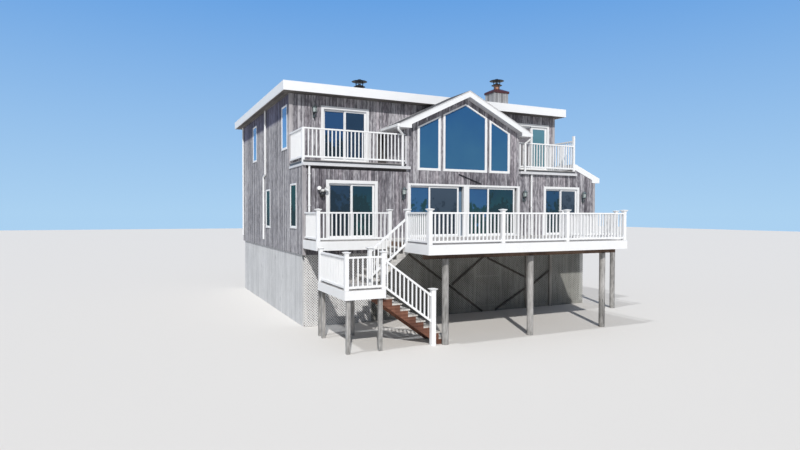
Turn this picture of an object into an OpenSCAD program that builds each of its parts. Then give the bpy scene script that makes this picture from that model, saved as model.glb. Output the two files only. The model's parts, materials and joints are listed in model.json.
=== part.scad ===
// Two-storey beach house on piles, with a front gable, two balconies and a raised deck.
// Lengths are in millimetres. x runs right along the front, y into the house, z up.
// Places are measured from the left front corner of the lower storey, at ground level,
// and place() moves them so that the origin lies under the middle of the whole house.

/* [Levels] */
// Height of the main floor and deck above the ground
deck_z = 3100; // [2900:10:3400]
// Height of the upper floor above the main floor
upper_rise = 2870; // [2800:10:3000]
// Height of the front wall's top above the main floor
wall_rise = 2600; // [2560:10:2640]
// Height of the flat roof's underside above the main floor
eave_rise = 5455; // [5400:5:5600]
// Thickness of the flat roof and its fascia
roof_t = 350; // [300:10:400]

/* [House] */
// Width of the lower storey
house_w = 13500; // [13300:50:13700]
// Width of the upper storey
upper_w = 12720; // [12650:10:12800]
// Depth of the house from the lower front wall to the back
house_d = 11550; // [11000:50:12000]
// How far the upper front wall stands behind the lower one
setback = 1820; // [1600:20:2000]
// Thickness of the outside walls
wall_t = 150; // [120:10:180]
// How far the siding reaches below the main floor
siding_drop = 550; // [400:10:600]
// Roof overhang in front and behind
roof_over_y = 515; // [400:5:600]
// Roof overhang at the left side
roof_over_left = 360; // [200:10:450]
// Roof overhang at the right side
roof_over_right = 230; // [150:10:400]

/* [Gable] */
// Left face of the gable bay
bay_x = 3990; // [3950:10:4100]
// Width of the gable bay
bay_w = 5300; // [5200:20:5400]
// Height of the ridge above the main floor
ridge_rise = 5770; // [5700:10:5850]
// Rise of the gable roof for each unit of run
gable_pitch = 0.487; // [0.45:0.001:0.5]
// Overhang of the gable roof beside the bay
gable_eave = 390; // [300:10:450]
// Overhang of the gable roof in front of the bay
gable_over = 300; // [200:10:400]

/* [Side roof] */
// Left end of the side roof, where the right balcony ends
side_roof_x = 12370; // [12300:10:12420]
// Height of the side roof's eave above the main floor
side_eave_rise = 2540; // [2500:5:2600]
// Rise of the side roof for each unit of run
side_pitch = 0.422; // [0.4:0.002:0.45]
// How far the side roof's boxed eave stands out from the right wall
side_over = 260; // [200:10:300]

/* [Doors] */
// Width of a two-panel sliding door
door_w = 1830; // [1780:10:1860]
// Height of a door opening
door_h = 2000; // [1960:10:2030]
// Left edge of the left door on the main floor
left_door_x = 905; // [850:5:950]
// Left edge of the right door on the main floor
right_door_x = 10695; // [10650:5:10720]
// Left edge of the middle glazing
middle_x = 4150; // [4120:5:4180]
// Width of each of the two doors in the middle glazing
middle_door_w = 2450; // [2380:10:2460]
// Width of the sliding leaf of a middle door
middle_leaf_w = 1360; // [1260:10:1380]
// Width of the post between the two middle doors
middle_post = 190; // [160:10:200]
// Left edge of the upper left door
upper_left_door_x = 1295; // [1250:5:1350]
// Left edge of the upper right door
upper_right_door_x = 10510; // [10450:5:10560]
// Height of an upper door opening
upper_door_h = 2050; // [2000:10:2080]
// Width of the white trim boards round the doors
trim_w = 85; // [70:5:100]
// Width of the white trim boards round the windows
window_trim_w = 55; // [40:5:90]

/* [Deck] */
// Left edge of the main deck
deck_x = 2420; // [2350:10:2450]
// Right edge of the main deck
deck_right = 10335; // [10250:5:10450]
// How far the main deck stands out from the front wall
deck_out = 4760; // [4600:20:4900]
// How far the two side decks stand out from the front wall
side_deck_out = 1600; // [1550:10:1650]
// Right edge of the right side deck
side_deck_right = 13300; // [13200:10:13400]
// Height of the deck guards
guard_h = 960; // [920:10:1000]
// Distance from one baluster to the next on the balconies and side decks
baluster_step = 146; // [125:1:150]
// Distance from one baluster to the next on the main deck
deck_baluster_step = 141; // [125:1:150]
// Distance from one baluster to the next on the stair
stair_baluster_step = 137; // [125:1:150]
// Side of a deck guard post
post_w = 115; // [100:5:120]
// Height of the white fascia boards
fascia_h = 300; // [260:10:320]

/* [Stair] */
// Depth of the landing below the deck
landing_drop = 1276; // [1200:1:1300]
// Number of rises from the landing to the deck
upper_rises = 7; // [6:1:7]
// Depth of one step of the upper flight
upper_run = 223; // [215:1:240]
// Number of treads of the lower flight
lower_treads = 8; // [7:1:9]
// Depth of one step of the lower flight
lower_run = 263; // [250:1:270]
// Drop from the landing to the first tread of the lower flight
first_drop = 290; // [200:5:300]
// Width of the landing
landing_w = 1250; // [1200:10:1270]
// How far the landing's front stands out from the front wall
landing_out = 4280; // [4240:10:4350]
// Front to back length of the landing
landing_d = 2520; // [2500:5:2540]

/* [Balconies] */
// Height of the balcony guards above the upper floor
balcony_guard_h = 1070; // [1000:10:1100]
// Side of a balcony post
balcony_post = 90; // [80:5:100]

/* [Hidden] */

$fn = 24;

// Levels above the ground
upper_z = deck_z + upper_rise;
wall_z = deck_z + wall_rise;
eave_z = deck_z + eave_rise;
roof_z = eave_z + roof_t;
ridge_z = deck_z + ridge_rise;
siding_z = deck_z - siding_drop;

// Outline of the whole house, for the origin
trim_t = 30;
side_eave_x = house_w + side_over;
span_left = -roof_over_left - trim_t;
span_right = side_eave_x + trim_t;
fascia_t = 25;
span_front = -deck_out - fascia_t;
span_back = house_d + roof_over_y + trim_t;
middle = [(span_left + span_right) / 2, (span_front + span_back) / 2];

// Gable
bay_right = bay_x + bay_w;
bay_mid = bay_x + bay_w / 2;
rake_h = 245;
rake_t = 40;
shingle_t = 30;
shingle_over = 15;
gable_half = bay_w / 2 + gable_eave;
gable_end_z = ridge_z - gable_pitch * gable_half;
soffit_z = gable_end_z - 155;
gable_seat = 60;
function gable_under(x) = ridge_z - rake_h - gable_pitch * abs(x - bay_mid);

// Side roof
side_roof_t = 265;
side_soffit_z = deck_z + 2320;
side_box_w = 150;
side_eave_z = deck_z + side_eave_rise;
function side_top(x) = side_eave_z + side_pitch * (side_eave_x - x);
function side_under(x) = side_top(x) - side_roof_t;

// Floors
floor_t = 300;
balcony_t = 200;

// Doors
door_sill = 30;
door_head_z = deck_z + door_sill + door_h;
upper_door_sill = 90;
upper_door_head_z = upper_z + upper_door_sill + upper_door_h;
middle_right_x = middle_x + middle_door_w + middle_post;
middle_end = middle_right_x + middle_door_w;
frame_t = 30;
leaf_t = 40;
leaf_front = 30;
panel_front = 80;
stile = 60;
lap = 60;
leaf_gap = 8;
middle_leaf_open = [200, 100];

// Windows of the left wall: front edge, width, sill above the main floor, height
side_windows = [
    [8070, 860, 3450, 1620], [2230, 790, 3450, 1620],
    [5190, 750, 340, 1580], [900, 780, 420, 1560]
];
// Windows of the right and back walls repeat those of the left one
right_upper_windows = [[8070, 860, 3450, 1620], [3600, 860, 3450, 1620]];
right_lower_windows = [[8070, 780, 420, 1560], [3600, 780, 420, 1560]];
back_windows = [
    [1500, 860, 3450, 1620], [5900, 860, 3450, 1620], [10300, 860, 3450, 1620],
    [1500, 780, 420, 1560], [5900, 780, 420, 1560], [10300, 780, 420, 1560]
];
glass_t = 20;

// Gable windows
gable_sill_z = deck_z + wall_rise + 45;
gable_window_top_gap = 266;
tall_window_half = 967;
side_window_x = [1205, 2100];

// Stair
upper_rise_h = landing_drop / upper_rises;
landing_z = deck_z - landing_drop;
lower_rise_h = (landing_z - first_drop) / lower_treads;
landing_back = -landing_out + landing_d;
stair_top_x = landing_w + (upper_rises - 1) * upper_run;
left_deck_right = 2674;
tread_t = 42;
stringer_t = 45;
lower_drop = 180;
upper_drop = 113;
flight_front = [-landing_out + post_w + 5, -3140];
flight_w = [860, 1300];
stair_post_y = -3200;
newel_x = 2840;
newel_w = 145;

// Deck
board_t = 35;
joist_h = 205;
joist_z = deck_z - board_t - joist_h;
beam_h = 220;
beam_w = 90;
pile_d = 210;
landing_joist_h = 180;
beam_y = -4280;
deck_pile_x = [3252, 6502, 9694];
side_pile_y = -side_deck_out + 110;
post_out = post_w / 2;
cap_w = 200;
cap_h = 80;
post_h = guard_h + 35;
landing_post_h = [1035, 1035, 1088, 1035];
deck_post_step = (deck_right - deck_x - post_w) / 3;
baluster_w = 38;
rail_w = 70;
rail_t = 50;
lower_rail_gap = 50;
balcony_rail_gap = 60;
tall_post_h = 1500;
tall_guard_h = 1300;

module place() {
    translate([-middle[0], -middle[1], 0]) children();
}

// A box from its lowest to its highest corner
module block(a, b) {
    translate(a) cube([b[0] - a[0], b[1] - a[1], b[2] - a[2]]);
}

// An outline in x and z, run along y
module along_y(y0, y1) {
    translate([0, y1, 0]) rotate([90, 0, 0]) linear_extrude(y1 - y0) children();
}

// An outline in y and z, run along x
module along_x(x0, x1) {
    translate([x0, 0, 0]) rotate([90, 0, 90]) linear_extrude(x1 - x0) children();
}

module rect(a, b) {
    translate(a) square([b[0] - a[0], b[1] - a[1]]);
}

// Ground level

house_pile_d = 240;
house_pile_y = [400, 5800, 11200];
house_pile_columns = 6;
house_pile_inset = 175;

module piles() {
    house_step = (skirt_right - skirt_in - 2 * (skirt_t + house_pile_inset))
        / (house_pile_columns - 1);
    color("dimgray") place() {
        for (i = [0 : house_pile_columns - 1], y = house_pile_y)
            translate([skirt_in + skirt_t + house_pile_inset + i * house_step, y, 0])
                cylinder(d = house_pile_d, h = deck_z - floor_t);
        for (x = deck_pile_x)
            translate([x, beam_y, 0]) cylinder(d = pile_d, h = joist_z - beam_h);
        for (x = [180, side_deck_right - 180])
            translate([x, side_pile_y, 0]) cylinder(d = pile_d, h = joist_z);
        for (x = [70, landing_w - 180], y = [-landing_out + 60, landing_back - 170])
            block([x, y, 0], [x + 110, y + 110, landing_z - board_t - landing_joist_h]);
    }
}

skirt_in = 40;
skirt_t = 90;
skirt_right = 12950;
bump_out_z = deck_z - floor_t;

module skirt_walls() {
    color("lightgray") place() {
        block([skirt_in, 250, 0], [skirt_in + skirt_t, house_d - 200, siding_z]);
        block([skirt_right - skirt_t, 250, 0], [skirt_right, house_d - 200, bump_out_z]);
        block([skirt_in, house_d - 130, 0], [skirt_right, house_d - skirt_in, siding_z]);
    }
}

lattice_bays = 5;
lattice_step = 400;
lattice_bar = 40;
lattice_t = 30;
lattice_frame = 90;

// One framed panel of crossed diagonal bars
module lattice_panel(w, h) {
    difference() {
        cube([w, lattice_t, h]);
        translate([lattice_frame, -1, lattice_frame])
            cube([w - 2 * lattice_frame, lattice_t + 2, h - 2 * lattice_frame]);
    }
    intersection() {
        cube([w, lattice_t, h]);
        union()
            for (x = [-h : lattice_step : w + h], side = [-1, 1])
                translate([x, 0, h / 2]) rotate([0, 45 * side, 0])
                    translate([-lattice_bar / 2, 0, -h]) cube([lattice_bar, lattice_t, 2 * h]);
    }
}

module skirt_lattice() {
    bay = (skirt_right - skirt_in) / lattice_bays;
    color("gainsboro") place()
        for (i = [0 : lattice_bays - 1])
            translate([skirt_in + i * bay + 5, 60, 0]) lattice_panel(bay - 10, siding_z);
}

// Floors

module main_floor() {
    color("tan") place()
        block([wall_t, wall_t, deck_z - floor_t], [house_w - wall_t, house_d - wall_t, deck_z]);
}

module upper_floor() {
    color("tan") place()
        block([wall_t, setback, wall_z], [upper_w, house_d - wall_t, upper_z]);
}

// Lower storey walls

module front_piers() {
    edges = [
        [wall_t, left_door_x], [left_door_x + door_w, middle_x],
        [middle_end, right_door_x], [right_door_x + door_w, house_w - wall_t]
    ];
    color("rosybrown") place()
        for (e = edges) block([e[0], 0, deck_z], [e[1], wall_t, door_head_z]);
}

module front_wall_bands() {
    right = house_w - wall_t;
    color("rosybrown") place() {
        along_y(0, wall_t) polygon([
            [wall_t, door_head_z], [right, door_head_z], [right, side_under(right)],
            [side_roof_x, side_under(side_roof_x)], [side_roof_x, wall_z], [wall_t, wall_z]
        ]);
        along_y(0, wall_t) polygon([
            [wall_t, siding_z], [skirt_right, siding_z], [skirt_right, bump_out_z],
            [right, bump_out_z], [right, deck_z], [wall_t, deck_z]
        ]);
    }
}

module window_holes(windows) {
    for (w = windows) rect([w[0], deck_z + w[2]], [w[0] + w[1], deck_z + w[2] + w[3]]);
}

module left_wall() {
    color("rosybrown") place()
        along_x(0, wall_t) difference() {
            polygon([
                [0, siding_z], [house_d, siding_z], [house_d, eave_z],
                [setback, eave_z], [setback, wall_z], [0, wall_z]
            ]);
            window_holes(side_windows);
        }
}

module back_wall() {
    right = house_w - wall_t;
    color("rosybrown") place()
        along_y(house_d - wall_t, house_d) difference() {
            polygon([
                [wall_t, siding_z], [skirt_right, siding_z], [skirt_right, bump_out_z],
                [right, bump_out_z], [right, side_under(right)],
                [upper_w, side_under(upper_w)], [upper_w, eave_z], [wall_t, eave_z]
            ]);
            window_holes(back_windows);
        }
}

// The lower and the upper right wall, either side of the side roof
module right_walls() {
    color("rosybrown") place() {
        difference() {
            along_y(0, house_d) polygon([
                [house_w - wall_t, bump_out_z], [house_w, bump_out_z],
                [house_w, side_under(house_w)], [house_w - wall_t, side_under(house_w - wall_t)]
            ]);
            along_x(house_w - wall_t - 10, house_w + 10) window_holes(right_lower_windows);
        }
        along_x(upper_w - wall_t, upper_w) difference() {
            rect([setback, upper_z], [house_d - wall_t, eave_z]);
            window_holes(right_upper_windows);
        }
    }
}

// Upper storey walls

// The wall beside the bay closes in under the gable roof
module beside_bay(outer, side) {
    edge = bay_mid + side * bay_w / 2;
    inner = edge - side * gable_seat;
    top_half = (ridge_z - rake_h - eave_z) / gable_pitch;
    polygon([
        [outer, upper_z], [edge, upper_z], [edge, soffit_z], [inner, soffit_z],
        [inner, gable_under(inner)], [bay_mid + side * top_half, eave_z], [outer, eave_z]
    ]);
}

module upper_door_hole(x) {
    rect([x, upper_z + upper_door_sill], [x + door_w, upper_door_head_z]);
}

module upper_front_wall() {
    color("rosybrown") place()
        along_y(setback, setback + wall_t) {
            difference() {
                beside_bay(wall_t, -1);
                upper_door_hole(upper_left_door_x);
            }
            difference() {
                beside_bay(upper_w - wall_t, 1);
                upper_door_hole(upper_right_door_x);
            }
        }
}

module bay_side_walls() {
    color("rosybrown") place()
        for (x = [bay_x, bay_right - wall_t])
            block([x, wall_t, wall_z], [x + wall_t, setback, soffit_z]);
}

// The trim is narrower along the sloping tops than at the sides
function gable_window_top(x, grow) = gable_under(x) - gable_window_top_gap + 0.7 * grow;

// The five-sided outline of the tall middle window, grown by a margin
module tall_window(grow) {
    half = tall_window_half + grow;
    polygon([
        [bay_mid - half, gable_sill_z - grow], [bay_mid + half, gable_sill_z - grow],
        [bay_mid + half, gable_window_top(bay_mid + half, grow)],
        [bay_mid, gable_window_top(bay_mid, grow)],
        [bay_mid - half, gable_window_top(bay_mid - half, grow)]
    ]);
}

// The sloped outline of a side window of the gable, at the right or, mirrored, the left
module slope_window(side, grow) {
    a = bay_mid + side * (side_window_x[0] - grow);
    b = bay_mid + side * (side_window_x[1] + grow);
    polygon([
        [a, gable_sill_z - grow], [b, gable_sill_z - grow],
        [b, gable_window_top(b, grow)], [a, gable_window_top(a, grow)]
    ]);
}

module gable_windows(grow) {
    tall_window(grow);
    slope_window(-1, grow);
    slope_window(1, grow);
}

module gable_wall() {
    color("rosybrown") place()
        along_y(0, wall_t) difference() {
            polygon([
                [bay_x, wall_z], [bay_right, wall_z], [bay_right, soffit_z],
                [bay_right - gable_seat, soffit_z],
                [bay_right - gable_seat, gable_under(bay_right - gable_seat)],
                [bay_mid, gable_under(bay_mid)],
                [bay_x + gable_seat, gable_under(bay_x + gable_seat)],
                [bay_x + gable_seat, soffit_z], [bay_x, soffit_z]
            ]);
            gable_windows(0);
        }
}

// Roofs

module flat_roof() {
    color("whitesmoke") place()
        block([-roof_over_left, setback - roof_over_y, eave_z],
              [upper_w + roof_over_right, house_d + roof_over_y, roof_z - 20]);
}

// Half of the gable roof's cross-section is mirrored about the ridge
module gable_half_section(inset, top) {
    half = bay_w / 2;
    polygon([
        [0, ridge_z - top], [gable_half, gable_end_z - top], [gable_half, soffit_z],
        [half - inset, soffit_z], [half - inset, gable_under(bay_mid + half - inset)],
        [0, ridge_z - rake_h]
    ]);
}

module gable_section(inset, top) {
    translate([bay_mid, 0]) {
        gable_half_section(inset, top);
        mirror([1, 0]) gable_half_section(inset, top);
    }
}

// The shingles run out over the rake boards
module shingle_edge() {
    left = bay_mid - gable_half;
    right = bay_mid + gable_half;
    polygon([
        [left, gable_end_z], [left, gable_end_z - shingle_t], [bay_mid, ridge_z - shingle_t],
        [right, gable_end_z - shingle_t], [right, gable_end_z], [bay_mid, ridge_z]
    ]);
}

module gable_roof() {
    color("gray") place() {
        difference() {
            along_y(-gable_over, setback) gable_section(gable_seat, 0);
            block([bay_x - 2000, setback - roof_over_y - trim_t, eave_z - 1],
                  [bay_right + 2000, setback + 100, roof_z]);
        }
        along_y(-gable_over - rake_t - shingle_over, -gable_over + 1) shingle_edge();
    }
}

// The side roof from x to its eave, which is boxed in from box_x on
module side_roof_section(x, box_x) {
    polygon([
        [x, side_under(x)], [box_x, side_under(box_x)], [box_x, side_soffit_z],
        [side_eave_x, side_soffit_z], [side_eave_x, side_eave_z], [x, side_top(x)]
    ]);
}

// The roof is notched round the trim of the upper right door
module side_roof() {
    door_trim_x = upper_right_door_x + door_w + trim_w + 5;
    color("gray") place() {
        along_y(0, setback - trim_t) side_roof_section(side_roof_x, house_w);
        along_y(setback - trim_t - 1, setback) side_roof_section(door_trim_x, house_w);
        along_y(setback - 1, house_d) side_roof_section(upper_w, house_w);
        block([side_roof_x, wall_t, wall_z], [side_roof_x + 90, setback, side_under(side_roof_x)]);
    }
}

// White boards that edge the roofs
module roof_trim() {
    left = -roof_over_left;
    right = upper_w + roof_over_right;
    front = setback - roof_over_y;
    back = house_d + roof_over_y;
    color("white") place() {
        for (y = [front - trim_t, back])
            block([left - trim_t, y, eave_z], [right + trim_t, y + trim_t, roof_z]);
        for (x = [left - trim_t, right])
            block([x, front + 1, eave_z], [x + trim_t, back - 1, roof_z]);
        along_y(-gable_over - rake_t, -gable_over) gable_section(90, shingle_t);
        along_y(-rake_t, 0) side_roof_section(side_roof_x, house_w - side_box_w);
        block([side_eave_x, -rake_t, side_soffit_z],
              [side_eave_x + trim_t, house_d, side_eave_z]);
    }
}

// Things on the flat roof

chase = [10400, 3400];
chase_size = [820, 740];
chase_top = deck_z + 6800;

module chimney_chase() {
    color("rosybrown") place()
        translate([chase[0], chase[1], roof_z - 20])
            cube([chase_size[0], chase_size[1], chase_top - roof_z + 20]);
}

cap_over = 60;
cap_rise = 230;
cap_edge = 90;
cap_top = 340;
flue_d = 300;

// The outline of the cap seen from one side: an upright edge under a slope
module cap_side(w) {
    polygon([
        [0, 0], [w, 0], [w, cap_edge], [(w + cap_top) / 2, cap_rise],
        [(w - cap_top) / 2, cap_rise], [0, cap_edge]
    ]);
}

module chimney_cap() {
    w = chase_size[0] + 2 * cap_over;
    d = chase_size[1] + 2 * cap_over;
    color("brown") place()
        translate([chase[0] - cap_over, chase[1] - cap_over, chase_top]) {
            intersection() {
                along_y(0, d) cap_side(w);
                along_x(0, w) cap_side(d);
            }
            translate([w / 2, d / 2, cap_rise - 1]) cylinder(d = flue_d, h = 191);
        }
}

// A storm cowl: a collar, a body and a wide top plate on a drum
module cowl(d) {
    cylinder(d = d * 1.7, h = 40);
    translate([0, 0, 39]) cylinder(d = d * 1.1, h = 181);
    translate([0, 0, 219]) cylinder(d = d * 2.3, h = 30);
    translate([0, 0, 248]) cylinder(d1 = d * 1.2, d2 = d * 0.3, h = 80);
}

vent = [3270, 3000];

module roof_vents() {
    color("black") place() {
        translate([chase[0] + chase_size[0] / 2, chase[1] + chase_size[1] / 2,
                   chase_top + cap_rise + 190]) cowl(310);
        translate([vent[0], vent[1], roof_z - 20]) {
            cylinder(d = 620, h = 40);
            translate([0, 0, 39]) cylinder(d = 290, h = 431);
            translate([0, 0, 460]) cowl(290);
        }
    }
}

// Windows

window_inset = 25;

// Trim boards and sash round a rectangular window in a wall whose outline is drawn flat
module window_ring(w, grow, inner) {
    difference() {
        rect([w[0] - grow, deck_z + w[2] - grow], [w[0] + w[1] + grow, deck_z + w[2] + w[3] + grow]);
        rect([w[0] + inner, deck_z + w[2] + inner],
             [w[0] + w[1] - inner, deck_z + w[2] + w[3] - inner]);
    }
}

sash_w = 25;

module window_trim() {
    color("white") place() {
        for (w = side_windows) {
            along_x(-trim_t, 0) window_ring(w, window_trim_w, 0);
            along_x(-trim_t, wall_t - 30) window_ring(w, 0, sash_w);
        }
        for (w = right_upper_windows) {
            along_x(upper_w, upper_w + trim_t) window_ring(w, window_trim_w, 0);
            along_x(upper_w - wall_t + 30, upper_w + trim_t) window_ring(w, 0, sash_w);
        }
        for (w = right_lower_windows) {
            along_x(house_w, house_w + trim_t) window_ring(w, window_trim_w, 0);
            along_x(house_w - wall_t + 30, house_w + trim_t) window_ring(w, 0, sash_w);
        }
        for (w = back_windows) {
            along_y(house_d, house_d + trim_t) window_ring(w, window_trim_w, 0);
            along_y(house_d - wall_t + 30, house_d + trim_t) window_ring(w, 0, sash_w);
        }
        along_y(-trim_t, 0) difference() {
            gable_windows(window_trim_w);
            gable_windows(0);
        }
        along_y(-trim_t, wall_t - 30) difference() {
            gable_windows(0);
            gable_windows(-sash_w);
        }
    }
}

module window_glass() {
    color("steelblue") place() {
        for (w = side_windows)
            along_x(window_inset, window_inset + glass_t) offset_window(w);
        for (w = right_upper_windows)
            along_x(upper_w - window_inset - glass_t, upper_w - window_inset) offset_window(w);
        for (w = right_lower_windows)
            along_x(house_w - window_inset - glass_t, house_w - window_inset) offset_window(w);
        for (w = back_windows)
            along_y(house_d - window_inset - glass_t, house_d - window_inset) offset_window(w);
        along_y(window_inset, window_inset + glass_t) gable_windows(-sash_w);
    }
}

// The glass fills a window inside its sash
module offset_window(w) {
    rect([w[0] + sash_w, deck_z + w[2] + sash_w],
         [w[0] + w[1] - sash_w, deck_z + w[2] + w[3] - sash_w]);
}

// Sliding doors

// Each door on the main floor: left edge, width and width of its sliding leaf
small_leaf_w = (door_w - 2 * frame_t + lap) / 2;
lower_doors = [
    [left_door_x, door_w, small_leaf_w], [middle_x, middle_door_w, middle_leaf_w],
    [middle_right_x, middle_door_w, middle_leaf_w], [right_door_x, door_w, small_leaf_w]
];
lining_d = wall_t - 10;
sill_z = deck_z + door_sill;
upper_sill_z = upper_z + upper_door_sill;

// One upright of a door frame on the main floor, with the trim board beside it
module door_jamb(x, side) {
    inner = x + side * frame_t;
    outer = x - side * trim_w;
    block([min(x, inner), -1, sill_z], [max(x, inner), lining_d, door_head_z - frame_t]);
    along_y(-trim_t, 0) polygon([
        [outer, deck_z], [x, deck_z], [x, sill_z], [inner, sill_z],
        [inner, door_head_z - frame_t], [x, door_head_z - frame_t],
        [x, door_head_z], [outer, door_head_z]
    ]);
}

module door_jambs() {
    post_x = middle_x + middle_door_w;
    color("white") place() {
        for (x = [left_door_x, middle_x, right_door_x]) door_jamb(x, 1);
        for (x = [left_door_x + door_w, middle_end, right_door_x + door_w]) door_jamb(x, -1);
        block([post_x - frame_t, -trim_t, sill_z],
              [middle_right_x + frame_t, lining_d, door_head_z - frame_t]);
    }
}

// Each opening: left edge, right edge and height of the trim board over it
module door_heads_and_sills() {
    color("white") place()
        for (e = [[left_door_x, left_door_x + door_w, trim_w], [middle_x, middle_end, 45],
                  [right_door_x, right_door_x + door_w, 70]]) {
            block([e[0], -1, door_head_z - frame_t], [e[1], lining_d, door_head_z]);
            along_y(-trim_t, 0) polygon([
                [e[0], door_head_z - frame_t], [e[1], door_head_z - frame_t],
                [e[1], door_head_z], [e[1] + trim_w, door_head_z],
                [e[1] + trim_w, door_head_z + e[2]], [e[0] - trim_w, door_head_z + e[2]],
                [e[0] - trim_w, door_head_z], [e[0], door_head_z]
            ]);
            block([e[0], -trim_t, deck_z], [e[1], lining_d, sill_z]);
        }
}

// A lined opening with its trim in the upper front wall
module upper_door_frame(x) {
    z = upper_sill_z;
    top = upper_door_head_z;
    along_y(setback, setback + lining_d) difference() {
        rect([x, z], [x + door_w, top]);
        rect([x + frame_t, z + door_sill], [x + door_w - frame_t, top - frame_t]);
    }
    along_y(setback - trim_t, setback) difference() {
        rect([x - trim_w, z], [x + door_w + trim_w, top + trim_w]);
        rect([x + frame_t, z + door_sill], [x + door_w - frame_t, top - frame_t]);
    }
}

module upper_door_frames() {
    color("white") place()
        for (x = [upper_left_door_x, upper_right_door_x]) upper_door_frame(x);
}

// A glazed panel: stiles and rails round a pane
module door_panel(x, w, y, z0, z1) {
    translate([x, y, z0]) {
        difference() {
            cube([w, leaf_t, z1 - z0]);
            translate([stile, -1, stile]) cube([w - 2 * stile, leaf_t + 2, z1 - z0 - 2 * stile]);
        }
        translate([stile, leaf_t / 2 - 8, stile]) cube([w - 2 * stile, 16, z1 - z0 - 2 * stile]);
    }
}

function leaf_x(d) = d[0] + d[1] - frame_t - leaf_gap - d[2];
function panel_w(d) = d[1] - 2 * frame_t - d[2] + lap;

module fixed_door_panels() {
    color("lightsteelblue") place() {
        for (d = lower_doors)
            door_panel(d[0] + frame_t, panel_w(d), panel_front, sill_z, door_head_z - frame_t);
        for (x = [upper_left_door_x, upper_right_door_x]) {
            z0 = upper_sill_z + door_sill;
            z1 = upper_door_head_z - frame_t;
            door_panel(x + frame_t, small_leaf_w, setback + panel_front, z0, z1);
            door_panel(x + door_w - frame_t - small_leaf_w, small_leaf_w,
                       setback + leaf_front, z0, z1);
        }
    }
}

module leaf(i, open) {
    d = lower_doors[i];
    color("lightsteelblue") place()
        door_panel(leaf_x(d) - open, d[2], leaf_front, sill_z + leaf_gap,
                   door_head_z - frame_t - leaf_gap);
}

module left_door_leaf() { leaf(0, 0); }
module middle_left_door_leaf() { leaf(1, middle_leaf_open[0]); }
module middle_right_door_leaf() { leaf(2, middle_leaf_open[1]); }
module right_door_leaf() { leaf(3, 0); }

// Decks

module deck_boards() {
    top = deck_z;
    low = deck_z - board_t;
    color("silver") place() {
        block([0, -side_deck_out, low], [left_deck_right, 0, top]);
        translate([0, 0, low]) linear_extrude(board_t) polygon([
            [left_deck_right + 4, 0], [left_deck_right + 4, -side_deck_out - 4],
            [stair_top_x, -side_deck_out - 4], [stair_top_x, stair_post_y + post_out],
            [deck_x, stair_post_y + post_out], [deck_x, -deck_out],
            [deck_right, -deck_out], [deck_right, 0]
        ]);
        block([deck_right + 4, -side_deck_out, low], [side_deck_right, 0, top]);
    }
}

// The decks' frames: left edge, right edge and how far they stand out
deck_frames = [
    [0, stair_top_x - 4, side_deck_out], [stair_top_x, deck_right, deck_out],
    [deck_right + 4, side_deck_right, side_deck_out]
];
joist_t = 40;
wall_gap = 5;

module deck_joists() {
    color("saddlebrown") place() {
        for (f = deck_frames) {
            count = ceil((f[1] - f[0]) / 610);
            for (i = [0 : count]) {
                x = f[0] + (f[1] - f[0] - joist_t) * i / count;
                block([x, -f[2] + joist_t, joist_z],
                      [x + joist_t, -wall_gap - joist_t, deck_z - board_t]);
            }
        }
        block([deck_x, -deck_out + joist_t, joist_z],
              [deck_x + joist_t, stair_post_y + post_out, deck_z - board_t]);
    }
}

// The rims close the ends of the joists, and a beam on piles carries the main deck's
module deck_beams() {
    color("saddlebrown") place() {
        for (f = deck_frames) {
            left = f[2] == deck_out ? deck_x : f[0];
            block([left, -f[2], joist_z], [f[1], -f[2] + joist_t, deck_z - board_t]);
            block([f[0], -wall_gap - joist_t, joist_z], [f[1], -wall_gap, deck_z - board_t]);
        }
        block([deck_x + 60, beam_y - beam_w / 2, joist_z - beam_h],
              [deck_right - 60, beam_y + beam_w / 2, joist_z]);
    }
}

// White boards along the edges of the decks and the landing
module deck_fascia() {
    z1 = deck_z - 5;
    z0 = z1 - fascia_h;
    f = fascia_t;
    landing_fascia = 270;
    color("white") place() {
        block([-f, -side_deck_out - f, z0], [0, 0, z1]);
        block([1, -side_deck_out - f, z0], [stair_top_x - 4, -side_deck_out, z1]);
        block([deck_x - f, -deck_out - f, z0], [deck_x, stair_post_y + post_out, z1]);
        block([deck_x + 1, -deck_out - f, z0], [deck_right + f, -deck_out, z1]);
        block([deck_right, -deck_out + 1, z0], [deck_right + f, -side_deck_out - f, z1]);
        block([deck_right + f + 1, -side_deck_out - f, z0],
              [side_deck_right - 1, -side_deck_out, z1]);
        block([side_deck_right, -side_deck_out - f, z0], [side_deck_right + f, 0, z1]);
        block([-f, -landing_out - f, landing_z - landing_fascia],
              [0, landing_back, landing_z - 5]);
        block([1, -landing_out - f, landing_z - landing_fascia],
              [landing_w, -landing_out, landing_z - 5]);
    }
}

// Guards

// A square cap flares out from the post and has a low pointed top
module post_cap(w, cap) {
    module side() {
        polygon([
            [-w / 2, -1], [w / 2, -1], [w / 2, 0], [cap / 2, cap_h - 35],
            [cap / 2, cap_h - 20], [0, cap_h], [-cap / 2, cap_h - 20],
            [-cap / 2, cap_h - 35], [-w / 2, 0]
        ]);
    }
    intersection() {
        along_y(-cap / 2, cap / 2) side();
        along_x(-cap / 2, cap / 2) side();
    }
}

// A post at x and y from z up to z1, under its cap
module guard_post(x, y, z, z1, w, cap) {
    translate([x, y, z]) {
        translate([-w / 2, -w / 2, 0]) cube([w, w, z1 - z]);
        translate([0, 0, z1 - z]) post_cap(w, cap);
    }
}

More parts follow.
